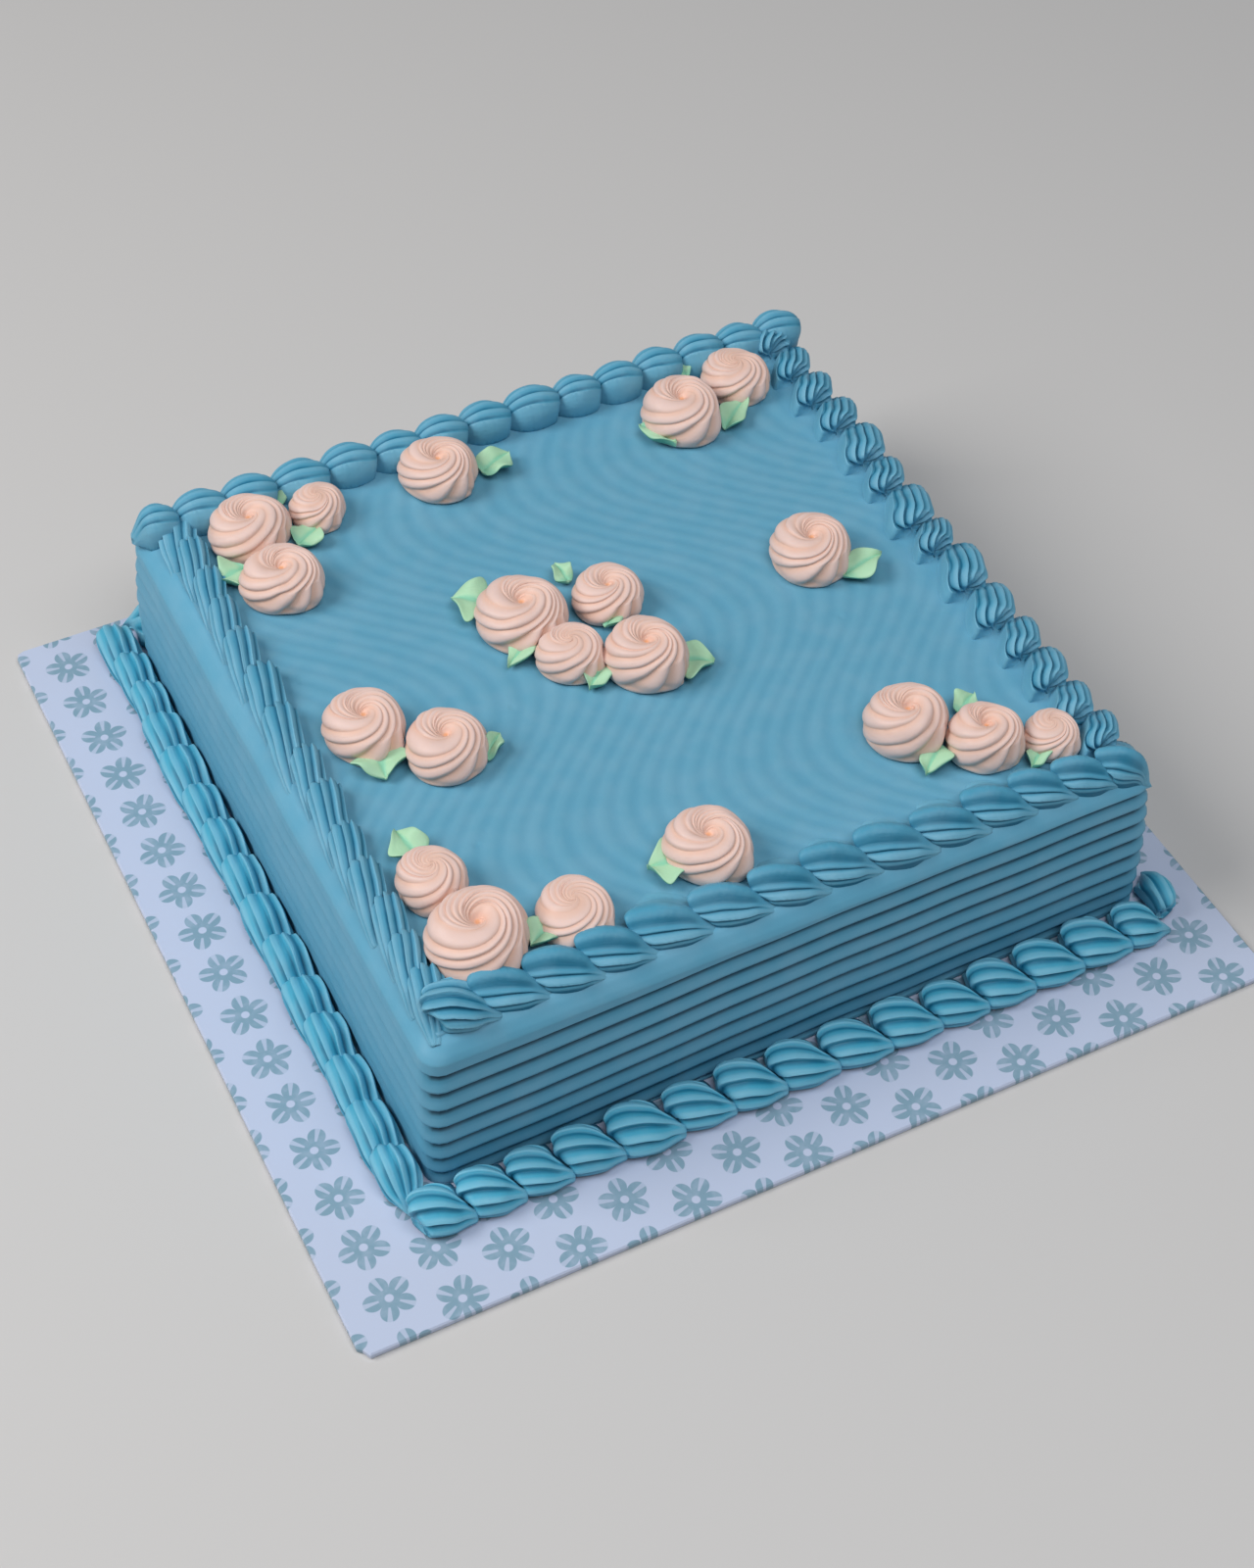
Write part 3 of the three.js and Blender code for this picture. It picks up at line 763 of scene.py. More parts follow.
@dataclass(frozen=True)
class RunShape:
    """How the shells of a run are piped, in millimetres and in shares of a shell's own size.

    Where they lie: outward is how far from the cake's middle they start, sweep and bend how far and how soon the
    tail draws away, drift and bow how the run itself leaves its line, reach how far a tail runs on under the next
    head, drape whether it sinks at the rim, and clear_of what it keeps clear of.

    How they swell: radius and height are the size, tail and sag what the tail keeps and loses of it, stand keeps a
    narrowing tail high, ball arches the whole shell, round_head rounds the head's outer side and round_top its top,
    and apron spreads the inner foot.

    How they start: the head leads at the nose, skew holds its inner side back and set_back its outer side, tuck
    ends the inner side early, overhang leans the head forward, and cleft cuts the grooves into it, which are as
    deep there as first_depth says.

    The first shell may have its own section and size, the last its own tail, reach and sweep.
    """

    section: TipSection
    outward: float
    sweep: float
    radius: float
    height: float
    reach: float
    bend: float = 1.6
    drift: float = 0.0
    bow: float = 0.0
    drape: bool = False
    clear_of: float = 0.0
    tail: float = 0.4
    sag: float = 0.4
    stand: float = 1.0
    ball: float = 0.0
    round_head: float = 0.0
    round_top: float = 0.0
    apron: float = 0.0
    nose: float = 0.0
    skew: float = 0.0
    set_back: float = 0.0
    tuck: float = 0.0
    overhang: float = 1.2
    cleft: float = 0.0
    first_depth: float = 0.5
    first_size: float = 1.0
    first_section: TipSection | None = None
    last_tail: float = 0.1
    last_reach: float = 4.0
    last_sweep: float | None = None


@dataclass
class ShellRun:
    """One run of overlapping piped shells along a side.

    A shell is a ball whose columns follow the tip's section and whose rings go from the head to the tail. The stray
    fields and the tremble are how uneven the hand is. A draped run sinks by rim_drop over rim_run past the rim, and
    hang and corner_hang say where it is held back and by how much it may pass that. The feet of a run on top may go
    down by sunk, past the rim and elsewhere. The head's points are a share of its length and how full it is.
    """

    name: str
    node: str
    side: Side
    starts: tuple[float, ...]
    last_pitch: float
    level: float
    seed: float
    shape: RunShape
    skipped: tuple[int, ...] = ()
    rings: int = 40
    usual_pitch: float = 14.3
    stray: float = 0.07
    stray_place: float = 0.6
    tremble: float = 0.14
    full_depth: float = 1.15
    rim: float = 97.5
    rim_run: float = 4.6
    rim_drop: float = 4.8
    hang: tuple[float, float] = (98, 3.6)
    corner_hang: tuple[float, float] = (99, 4.0)
    sunk: tuple[float, float] = (6.0, 1.0)
    head: tuple[tuple[float, float], ...] = (
        (0.30, 0.0), (0.10, 0.40), (0.0, 0.74), (0.03, 0.90), (0.18, 0.99), (0.46, 1.0), (0.84, 0.94))

    def build(self, finish: bpy.types.Material) -> bpy.types.Object:
        """Builds the whole run.

        Args:
            finish: The cream it is piped in.

        Returns:
            Its object.
        """
        body = Body()
        for number, start in enumerate(self.starts):
            last = number == len(self.starts) - 1
            pitch = self.last_pitch if last else self.starts[number + 1] - start
            if number not in self.skipped:
                self.shell(body, number, start, pitch, last)
        return body.finish(self.name, finish, "piping", (self.node,))

    def swelling(self, ring: Shape, tail: float) -> tuple[Shape, Shape]:
        """Gives the blunt head and the narrowing tail.

        Args:
            ring: How far from the first pole to the last a point lies on the ball.
            tail: How full the tail's end is.

        Returns:
            How far along the shell it lies, from 0 to 1, and how full the shell is there.
        """
        narrowing = self.head[-1][1] - tail
        rest = ((1.24, tail + 0.80 * narrowing), (1.64, tail + 0.40 * narrowing), (2.0, tail), (2.05, tail * 0.5),
                (2.04, 0.0))
        share, full = curve_through(self.head + rest, ring)
        return share / 2, np.clip(full, 0, None)

    def fullness(self, t: Shape, full: Shape, out: Shape) -> tuple[Shape, Shape]:
        """Gives how much of its width and height the shell has.

        Args:
            t: How far along the shell each point lies, from 0 to 1.
            full: How full the shell is there.
            out: How far outward it lies in the section.

        Returns:
            The share of the width, and of the height.
        """
        shape = self.shape
        rounded = np.sqrt(1 - np.clip(1 - t / 0.4, 0, 1) ** 2)
        wide = full * (1 - (shape.round_head * ease(0.0, 0.7, out) + 0.35 * shape.ball) * (1 - rounded))
        tall = full ** np.where(t < 0.2, 1.0, shape.stand) * (1 - shape.sag * ease(0.3, 1.0, t))
        hump = 0.5 + 0.5 * np.cos(np.clip((t - 0.36) / 0.42, -1, 1) * math.pi)
        tall = tall * (1 + shape.round_top * ease(0.45, -0.35, out) * (0.3 * hump - 0.7 * (1 - hump)))
        return wide, tall * (1 - shape.ball) + shape.ball * np.sqrt(1 - ((t - 0.42) / 0.62) ** 2) * full**0.5

    def lengthwise(self, along: Shape, t: Shape, full: Shape, out: Shape, up: Shape, deep: Shape) -> Shape:
        """Moves points of the head, and of the tail's inner side, along the run.

        Args:
            along: How far along the side each point lies.
            t: How far along the shell, from 0 to 1.
            full: How full the shell is there.
            out: How far outward it lies in the section.
            up: How far up it lies.
            deep: How deep in a groove.

        Returns:
            How far along the side the points lie then.
        """
        shape = self.shape
        along = along - shape.overhang * np.clip(up, 0, 1) * ease(0.35, 0.0, t)
        inward, away = np.clip((shape.nose - out) / 1.3, 0, 1), np.clip(out - shape.nose, 0, 1)
        along = along + (shape.skew * (1 - np.sqrt(1 - inward**2)) + shape.set_back * away**1.3) * (1 - t)
        notched = shape.cleft * deep * ease(0.4, 0.0, t) * ease(0.2, 0.8, full)
        return along - shape.tuck * np.clip(shape.nose - out, 0, 1.3) * t**2 + notched

    def draped(self, along: Shape, far: Shape, lift: Shape) -> tuple[Shape, Shape]:
        """Lets the run sink over the rim.

        Args:
            along: How far along the side each point lies.
            far: How far outward.
            lift: How far up from the run's level.

        Returns:
            How far outward and up the points lie then.
        """
        far = held_back(far, *self.hang)
        past = np.hypot(np.clip(far - self.rim, 0, None), np.clip(along - self.rim, 0, None))
        return far, lift - self.rim_drop * (1 - np.sqrt(1 - np.clip(past / self.rim_run, 0, 1) ** 2))

    def shell(self, body: Body, number: int, start: float, pitch: float, last: bool) -> None:
        """Adds one shell.

        Args:
            body: The run's mesh.
            number: Its place in the run.
            start: Where its head starts along the side.
            pitch: How far the next head is.
            last: Whether its tail lies open.
        """
        shape = self.shape
        on_top = self.level > CAKE_UNDERSIDE
        lines = (shape.first_section if number == 0 and shape.first_section else shape.section).columns()
        steps = len(lines[0])
        x, y, z = body.add_ball(steps, self.rings).T
        column = np.round(np.arctan2(y, x) / (2 * math.pi) * steps).astype(int) % steps
        out, up, deep, plain_out, plain_up = (line[column] for line in lines)
        ring = np.arccos(np.clip(z, -1, 1)) / math.pi
        share, full = self.swelling(ring, shape.last_tail if last else shape.tail)
        t = np.clip(share, 0, 1)
        pleat = shape.first_depth + (self.full_depth - shape.first_depth) * ease(0.08, 0.6, t)
        pleat = pleat * ease(0.3, 0.8, full)
        out, up = plain_out + (out - plain_out) * pleat, plain_up + (up - plain_up) * pleat
        draw = self.seed + 3 * number
        bowed = shape.bow * (ease(-30, 15, start) + ease(70, 90, start))
        centre = shape.outward + shape.drift * start / FOOT_HALF + bowed + self.stray_place * unevenness(draw)
        size = math.sqrt(pitch / self.usual_pitch) * (shape.first_size if number == 0 else 1)
        radius = shape.radius * size * (1 + self.stray * unevenness(draw + 1))
        height = shape.height * (1 + self.stray * unevenness(draw + 2))
        length = pitch + (shape.last_reach if last else shape.reach)
        sweep = shape.last_sweep if last and shape.last_sweep is not None else shape.sweep
        lean = np.arctan2(shape.bend * sweep * t ** (shape.bend - 1), length) * ease(-0.1, 0.22, t)
        wide, tall = self.fullness(t, full, out)
        spread = shape.apron * ease(-0.55, -0.9, out) * ease(0.5, 0.12, up) * ease(0.2, 0.8, full)
        across = out * radius * wide - spread
        along = self.lengthwise(start + length * share, t, full, out, up, deep)
        far = np.maximum(centre + sweep * t**shape.bend + across * np.cos(lean), shape.clear_of)
        lift = up * height * tall
        if on_top:
            lift = lift - 0.9 * ease(0.3, 0.0, up) * ease(-1.3, -1.0, out) - 1.5 * ease(0.7, 1.0, t)
        if shape.drape:
            far, lift = self.draped(along, far, lift)
        along = along - across * np.sin(lean)
        if shape.drape:
            along = held_back(along, *self.corner_hang)
        placed = turned(np.column_stack([along, -far, lift + self.level]), self.side)
        tremble = np.column_stack([ripple(*placed.T, 9.0, 20 + axis) for axis in range(3)])
        placed += tremble * self.tremble * ease(0.2, 0.8, full)[:, None]
        beyond = np.maximum(far, along) > self.rim
        placed[:, 2] = np.maximum(placed[:, 2], self.level - (np.where(beyond, *self.sunk) if on_top else 0.0))
        stroke = np.column_stack([column * 0.5, t * 1.6, np.full_like(t, number * 7.3 + self.seed)])
        # painted shade in the pleats' grooves, and a painted dark pocket low on the outer side of each head
        painted_pocket_shade = 0.9 * ease(0.1, 0.02, t) * ease(0.6, 0.15, up) * ease(-0.5, 0.0, out) * ease(0.1, 0.3, full)
        body.set_points(placed, np.maximum(np.clip(deep, 0, 1) ** 1.4 * np.clip(pleat, 0, 1), painted_pocket_shade), stroke)


def numbered(shapes: tuple, finish: CreamFinish, word: str, slot: str, form: Callable) -> list[bpy.types.Object]:
    """Builds pieces that each stand for their own numbered node.

    Args:
        shapes: Their places and sizes, in piping order.
        finish: The cream they are piped in.
        word: What one of them is called.
        slot: The record's slot of that finish.
        form: Adds one piece's surface, given its mesh, its index and its shape.

    Returns:
        Their objects.
    """
    material = finish.material()
    made = []
    for index, shape in enumerate(shapes):
        body = Body()
        form(body, index, shape)
        number = f"{index + 1:02d}"
        made.append(body.finish(f"piped_{word}_{number}", material, slot, (f"{word}_{number}",)))
    return made


@dataclass(frozen=True)
class RosetteShape:
    """One piped rosette's place and size."""

    x: float
    y: float
    radius: float
    height: float
    opened: bool
    arms: int = 10
    turn: float = 2.4
    tail: float = -1.2


@dataclass
class Rosettes:
    """The rosettes in piping order: swirls of a star-tip rope, each yielding to the ones piped after it.

    A ridge of the rope rises over one share of its width and falls over the rest. The rope's last turn laps over
    its start, and what lies past the underside's share is the flat foot.
    """

    shapes: tuple[RosetteShape, ...]
    finish: CreamFinish
    ridge: float = 0.058
    rise: float = 0.66
    fall: float = 0.34
    crowd: float = 0.5
    lap: float = 0.13
    underside: float = 0.86
    round_steps: int = 160
    rings: int = 60
    open_section: tuple[tuple[float, float], ...] = (
        (0, 0.76), (0.07, 0.78), (0.16, 0.90), (0.32, 1.02), (0.5, 1.03), (0.68, 0.95), (0.83, 0.8), (0.94, 0.56),
        (0.98, 0.3), (0.93, 0.08), (0.88, 0.0))
    closed_section: tuple[tuple[float, float], ...] = (
        (0, 1.06), (0.12, 1.05), (0.3, 1.03), (0.5, 1.0), (0.68, 0.93), (0.83, 0.79), (0.94, 0.56),
        (0.98, 0.3), (0.93, 0.08), (0.88, 0.0))

    def build(self) -> list[bpy.types.Object]:
        """Builds every rosette and returns their objects."""
        return numbered(self.shapes, self.finish, "rosette", "rose", self.swirl)

    def swirl(self, body: Body, index: int, shape: RosetteShape) -> None:
        """Adds one rosette's surface.

        Args:
            body: Its mesh.
            index: Its place in the piping order.
            shape: Its place and size.
        """
        x, y, z = body.add_ball(self.round_steps, self.rings).T
        down = np.arccos(np.clip(z, -1, 1)) / math.pi
        angle = np.arctan2(y, x)
        share = np.clip(down / self.underside, 0, 1)
        section = self.open_section if shape.opened else self.closed_section
        out, up = curve_through(section, share)
        before, after = curve_through(section, share - 0.01), curve_through(section, share + 0.01)
        slope = np.arctan2(after[1] - before[1], after[0] - before[0])
        started = angle
        uneven = 1 + 0.16 * np.sin(angle + 1.9 * index) + 0.08 * np.sin(3 * angle + index)
        turned_on = self.twist(section, share) * shape.turn * uneven
        rest = self.twist(section, np.array([0.6])) * shape.turn * uneven
        nearest = started + rest + 0.55 + 0.4 * unevenness(index)
        toward = ease(0.0, 1.0, np.cos(nearest))
        phase = shape.arms * (started + index * 2.4 + self.crowd * np.sin(nearest)) / (2 * math.pi)
        angle = angle + np.where(share > 0.6, rest + (turned_on - rest) * (1 - 0.8 * toward), turned_on)
        part = phase % 1.0
        crown = np.where(part < self.rise, np.sin(math.pi / 2 * part / self.rise) ** 1.3,
                         np.cos(math.pi / 2 * (part - self.rise) / self.fall) ** 0.8)
        lobed = 0.8 + 1.5 * toward * ease(0.45, 0.8, share)
        shown = (0.25 + 0.75 * ease(0.1, 0.5, share)) * ease(1.0, 0.9, share) * ease(0.0, 0.06, share) * lobed
        depth = self.ridge * (1 - crown) * shown
        round_to_tail = ((started - shape.tail) / (2 * math.pi)) % 1.0
        grow = 1 - self.lap * (1 - round_to_tail) * ease(0.2, 0.9, share)
        under = np.clip((down - self.underside) / (1 - self.underside), 0, 1)
        wobble = 1 + 0.03 * np.sin(2 * angle + index) + 0.022 * np.sin(3 * angle + 2.3 * index)
        out = out * (1 - under) * wobble * (1 + 0.08 * toward * ease(0.4, 0.9, share))
        out = (out + np.sin(slope) * depth * (1 - under)) * grow
        step = 0.07 * (0.5 - round_to_tail) * ease(0.1, 0.5, share) * ease(1.0, 0.8, share)
        up = np.maximum(up - step - np.cos(slope) * depth * 1.15 * (1 - under), 0)
        px = shape.x + np.cos(angle) * out * shape.radius
        py = shape.y + np.sin(angle) * out * shape.radius
        pz = self.yielded(index, px, py, up * shape.height)
        wander = ripple(px, py, pz, 7.0, 50 + index) * 0.18 * ease(0.0, 0.2, share)
        points = np.column_stack([px + CAKE_CENTRE[0], py + CAKE_CENTRE[1], np.maximum(pz + wander, 0) + ON_TOP])
        stroke = np.column_stack([part * 4 + np.floor(phase) * 9, share * 3, np.full_like(share, index * 5.0)])
        # painted shade in the grooves between the ridges, more in an open centre's hole and over the inner slope round
        # the middle
        centre = ease(0.06, 0.015, share) * (0.55 if shape.opened else 0.1) + 0.26 * ease(0.4, 0.08, share)
        hollow = np.clip((1 - crown) * np.minimum(shown, 1) * 0.5 + centre, 0, 1)
        body.set_points(points, hollow, stroke)

    def twist(self, section: tuple[tuple[float, float], ...], share: Shape) -> Shape:
        """Gives how far the swirl has turned, faster the nearer it is to its middle.

        Args:
            section: The rosette's section.
            share: How far along the section each point lies.

        Returns:
            The turn for a rate of one, nought at the section's widest.
        """
        steps = np.linspace(0, 1, 200)
        out, up = curve_through(section, steps)
        pace = np.hypot(np.gradient(out), np.gradient(up)) / (np.clip(out, 0, None) + 0.14)
        walked = np.cumsum(pace)
        return np.interp(0.7, steps, walked) - np.interp(share, steps, walked)

    def yielded(self, index: int, x: Shape, y: Shape, z: Shape) -> Shape:
        """Presses a rosette down where later ones lie on it.

        Args:
            index: Its place in the piping order.
            x: Its points across, from the cake's centre.
            y: Its points along.
            z: Its points up.

        Returns:
            The heights it keeps.
        """
        for later in self.shapes[index + 1:]:
            away = np.hypot(x - later.x, y - later.y) / later.radius
            lid = later.height * np.interp(away, (0, 0.5, 0.8, 0.93, 1.0), (0.5, 0.8, 0.62, 0.35, 0.0)) - 0.4
            z = np.where(away < 0.95, np.minimum(z, np.maximum(lid, 0.1)), z)
        return z


@dataclass(frozen=True)
class LeafShape:
    """One piped leaf: where it starts and ends, its width and the height of both ends."""

    x0: float
    y0: float
    x1: float
    y1: float
    width: float
    z0: float
    z1: float


@dataclass
class Leaves:
    """The piped leaves beside the rosettes, each a folded, wavy tongue."""

    shapes: tuple[LeafShape, ...]
    finish: CreamFinish
    thickness: float = 1.5
    fold: float = 2.0
    wave: float = 0.8
    sink: float = 0.6
    fullness: float = 1.3
    round_steps: int = 64
    rings: int = 44

    def build(self) -> list[bpy.types.Object]:
        """Builds every leaf and returns their objects."""
        return numbered(self.shapes, self.finish, "leaf", "leaf", self.tongue)

    def tongue(self, body: Body, index: int, shape: LeafShape) -> None:
        """Adds one leaf's surface.

        Args:
            body: Its mesh.
            index: Its number.
            shape: Its place and size.
        """
        x, y, z = body.add_ball(self.round_steps, self.rings).T
        t = np.arccos(np.clip(z, -1, 1)) / math.pi
        angle = np.arctan2(y, x)
        length = math.hypot(shape.x1 - shape.x0, shape.y1 - shape.y0)
        ahead = np.array([shape.x1 - shape.x0, shape.y1 - shape.y0]) / length
        aside = np.array([-ahead[1], ahead[0]])
        full = 0.12 + 0.88 * np.sin(math.pi * np.minimum(0.18 + 0.86 * t, 1)) ** 0.7
        cap = np.sin(math.pi * t) ** 0.35
        edge = np.cos(angle)
        lobes = 1 + 0.16 * np.sin(9 * t + 2.1 * index + np.where(edge > 0, 0.0, 1.7))
        half = shape.width / 2 * self.fullness * full * cap * lobes
        thick = self.thickness * (0.65 + 0.35 * np.sin(math.pi * t)) * cap
        lift = self.fold * np.abs(edge) ** 1.3 * np.sin(math.pi * (0.15 + 0.7 * t))
        frill = self.wave * np.sin(8 * t + index + np.where(edge > 0, 0.0, 2.0)) * np.abs(edge)
        crease = -0.35 * np.exp(-(edge / 0.16) ** 2)
        top = np.sin(angle) > 0
        middle = shape.z0 + (shape.z1 - shape.z0) * t - self.sink + lift + frill
        px = shape.x0 + ahead[0] * length * t + aside[0] * edge * half
        py = shape.y0 + ahead[1] * length * t + aside[1] * edge * half
        pz = middle + np.sin(angle) * thick + np.where(top, crease * cap, 0)
        points = np.column_stack([px + CAKE_CENTRE[0], py + CAKE_CENTRE[1], np.maximum(pz, 0) + ON_TOP])
        # painted shade along the middle crease, at the base by the rosette and over the underside
        hollow = np.exp(-(edge / 0.15) ** 2) * 0.45 + ease(0.3, 0.0, t) * 0.7 + np.where(top, 0, 0.8)
        hollow = np.clip(hollow, 0, 1) * np.clip(cap, 0, 1)
        stroke = np.column_stack([edge * 6, t * 2, np.full_like(t, index * 3.0)])
        body.set_points(points, hollow, stroke)


@dataclass
class Studio:
    """The plain floor, the soft light and the camera at the photograph's angle."""

    azimuth: float = -27.324
    elevation: float = 47.80
    roll: float = 0.857
    focal_pixels: float = 2730.97
    picture_width: float = 1280.0
    target: tuple[float, float, float] = (-4.253, -17.578, 30.0)
    distance: float = 711.825
    floor_half: float = 3.0
    sky: tuple[float, float, float, float] = (0.86, 0.92, 1.0, 1.0)
    sky_strength: float = 0.13

    def floor(self) -> bpy.types.Object:
        """Lays the floor.

        Returns:
            Its object.
        """
        work = bmesh.new()
        bmesh.ops.create_grid(work, x_segments=1, y_segments=1, size=self.floor_half)
        mesh = bpy.data.meshes.new("studio_floor")
        work.to_mesh(mesh)
        work.free()
        mesh.materials.append(FloorFinish().material())
        made = bpy.data.objects.new("studio_floor", mesh)
        bpy.context.scene.collection.objects.link(made)
        return made

    def lamp(self, name: str, place: tuple[float, float, float], size: float, watts: float, colour: Colour) -> None:
        """Hangs one soft lamp that faces the cake.

        Args:
            name: Its name.
            place: Where it hangs, in metres.
            size: The side of its square, in metres.
            watts: Its power.
            colour: Its light.
        """
        light = bpy.data.lights.new(name, "AREA")
        light.shape, light.size, light.energy, light.color = "SQUARE", size, watts, colour
        made = bpy.data.objects.new(name, light)
        facing = Vector(place).to_track_quat("Z", "Y")
        made.matrix_world = Matrix.Translation(place) @ facing.to_matrix().to_4x4()
        bpy.context.scene.collection.objects.link(made)

    def light(self) -> None:
        """Lights the cake softly from the left and behind, with a pale sky."""
        world = bpy.data.worlds.new("pale_studio")
        world.use_nodes = True
        backdrop = world.node_tree.nodes["Background"]
        backdrop.inputs["Color"].default_value = self.sky
        backdrop.inputs["Strength"].default_value = self.sky_strength
        bpy.context.scene.world = world
        self.lamp("window_key", (-1.10, 0.35, 1.15), 0.9, 17.3, (1.0, 0.98, 0.96))
        self.lamp("overhead", (0.15, -0.55, 1.45), 1.0, 11.7, (0.97, 0.98, 1.0))

    def camera(self) -> None:
        """Sets the camera where the photograph was taken from."""
        azimuth, elevation, roll = (math.radians(v) for v in (self.azimuth, self.elevation, self.roll))
        level = math.cos(elevation)
        back = Vector((math.sin(azimuth) * level, -math.cos(azimuth) * level, math.sin(elevation)))
        right = Vector((0, 0, 1)).cross(back).normalized()
        up = back.cross(right)
        rolled_right = right * math.cos(roll) + up * math.sin(roll)
        rolled_up = up * math.cos(roll) - right * math.sin(roll)
        place = (Vector(self.target) + back * self.distance) * MM
        lens = bpy.data.cameras.new("photo_view")
        lens.sensor_fit, lens.sensor_width = "HORIZONTAL", 36.0
        lens.lens = self.focal_pixels / self.picture_width * lens.sensor_width
        lens.clip_start, lens.clip_end = 0.05, 20.0
        made = bpy.data.objects.new("photo_view", lens)
        axes = Matrix((rolled_right, rolled_up, back)).transposed().to_4x4()
        made.matrix_world = Matrix.Translation(place) @ axes
        bpy.context.scene.collection.objects.link(made)
        bpy.context.scene.camera = made

    def build(self) -> None:
        """Sets up the floor, the light and the camera."""
        self.floor()
        self.light()
        self.camera()
        bpy.context.scene.view_settings.view_transform = "Standard"


ROSETTES = tuple(RosetteShape(*row) for row in (
    (-53.2, 83.2, 8.8, 7.4, False), (-73.6, 82.7, 12.4, 9.7, True), (-72.9, 60, 12.2, 9.6, True),
    (-16.8, 82.4, 12, 9.6, True), (78, 81.9, 11, 8.9, False), (56.4, 74.4, 12.7, 10.8, True),
    (61.7, 7.6, 12.5, 9.9, True), (3.8, 16.5, 10.7, 8.1, True), (-15, 0.2, 9.9, 8.7, False),
    (-20.7, 18.9, 13.3, 10.6, True), (2.3, -9.5, 12.2, 11, True), (-74.4, -0.4, 12, 9.8, True),
    (-58.3, -15.8, 11.9, 9.3, True), (83.2, -80.6, 8.2, 7.4, False), (51.5, -61, 12.0, 11.2, True),
    (66.8, -74.6, 10.6, 10.6, True), (-14, -75.4, 12.1, 9.8, True), (-79.9, -55.5, 9.9, 9.4, False),
    (-52.7, -79.4, 10.8, 7.9, False), (-77.3, -77.1, 14, 12.4, True, 11, 2.8)))

LEAVES = tuple(LeafShape(*row) for row in (
    (-63.5, 72.5, -55.5, 76, 8, 1.6, 2.4), (-80, 69.5, -88.5, 67.5, 9.5, 2.4, 2.2), (-62, 90, -61, 96, 4, 1.6, 3),
    (-5.5, 77.5, 5, 81.5, 8.5, 1.8, 2.6), (66, 89, 64.5, 96.5, 6, 2, 3.6), (65.5, 64.5, 77.5, 73.5, 6, 1.4, 2.6),
    (43.6, 75.5, 49.4, 63.6, 5.5, 2.6, 2.0), (65.2, -4.2, 78.2, -2.8, 8, 1.6, 3.4),
    (-26, 28, -34.6, 34.4, 12, 2, 2.2), (-3, 26.5, -4, 33.6, 5, 1.6, 3), (-20, 11, -31.8, 4.2, 6, 2.4, 1.8),
    (-2, 6.5, 6, 10, 5, 2, 2.6), (-7.5, -6, -16, -12.5, 7, 2.2, 1.6), (8.5, -12.6, 18.6, -17.8, 10.5, 1.8, 1.4),
    (-75, -9, -76, -18.5, 11.5, 3, 1.8), (-50.6, -23, -43.8, -17.5, 4.5, 1.4, 3),
    (66.5, -62.8, 73.2, -59.2, 6, 1.8, 3), (56.2, -70.6, 47.5, -77.6, 7, 2.6, 1.8),
    (80, -83, 73, -87.5, 5, 2.4, 1.6), (-20.5, -77, -30.5, -74.2, 10.5, 2.6, 2.2),
    (-79.5, -46.5, -81.5, -36, 8, 2, 2.8), (-57.6, -80.2, -67.0, -84.6, 7.5, 2.8, 3.4)))

STAR_TIP = TipSection.star(((170, 0.12), (132, 0.2), (98, 0.24), (64, 0.26), (30, 0.26), (-4, 0.2), (-30, 0.1)))
# the third number of each knot is its painted shade, darkest in the trough under the dome, under each lip and beneath;
# it also sets how deep the head's grooves are cut
DOMED_TIP = TipSection((
    (-1.7, -0.14, 0.0), (-1.45, -0.06, 0.0), (-1.2, 0.06, 0.0), (-0.98, 0.27, 0.0), (-0.77, 0.55, 0.2),
    (-0.54, 0.85, 0.4), (-0.3, 1.0, 0.55), (-0.08, 0.96, 0.68), (0.07, 0.84, 0.85), (0.17, 0.71, 0.9),
    (0.26, 0.64, 0.8), (0.36, 0.615, 0.5), (0.45, 0.585, 0.45), (0.495, 0.525, 0.9), (0.465, 0.47, 1.0),
    (0.49, 0.455, 1.0), (0.57, 0.44, 0.4), (0.67, 0.42, 0.1), (0.78, 0.38, 0.0), (0.87, 0.33, 0.0),
    (0.885, 0.295, 0.1), (0.855, 0.26, 0.9), (0.825, 0.24, 1.0), (0.84, 0.215, 1.0), (0.88, 0.19, 0.5),
    (0.9, 0.155, 0.4), (0.885, 0.1, 1.0), (0.87, 0.02, 1.0), (0.86, -0.08, 1.0), (0.85, -0.3, 1.0),
    (0.65, -0.3, 1.0)))
BALL_TIP = TipSection.star(((134, 0.06), (102, 0.1), (70, 0.14), (38, 0.16), (6, 0.14), (-28, 0.1)),
                           ((-0.88, -0.1, 0.6), (-0.97, 0.14, 0.3), (-0.98, 0.42, 0.0), (-0.88, 0.66, 0.0)))
FAN_TIP = TipSection.star(((142, 0.12), (114, 0.2), (87, 0.24), (60, 0.27), (34, 0.26), (8, 0.2), (-22, 0.1)),
                          ((-1.15, -0.12, 0.0), (-1.05, 0.04, 0.0), (-0.96, 0.27, 0.0), (-0.87, 0.54, 0.0)))
FINE_TIP = TipSection.star(((168, 0.18), (122, 0.3), (82, 0.34), (42, 0.28), (4, 0.14), (-28, 0.06)))
BASE_TIP = TipSection.star(((172, 0.1), (118, 0.18), (72, 0.24), (30, 0.28), (-8, 0.24), (-32, 0.1)))

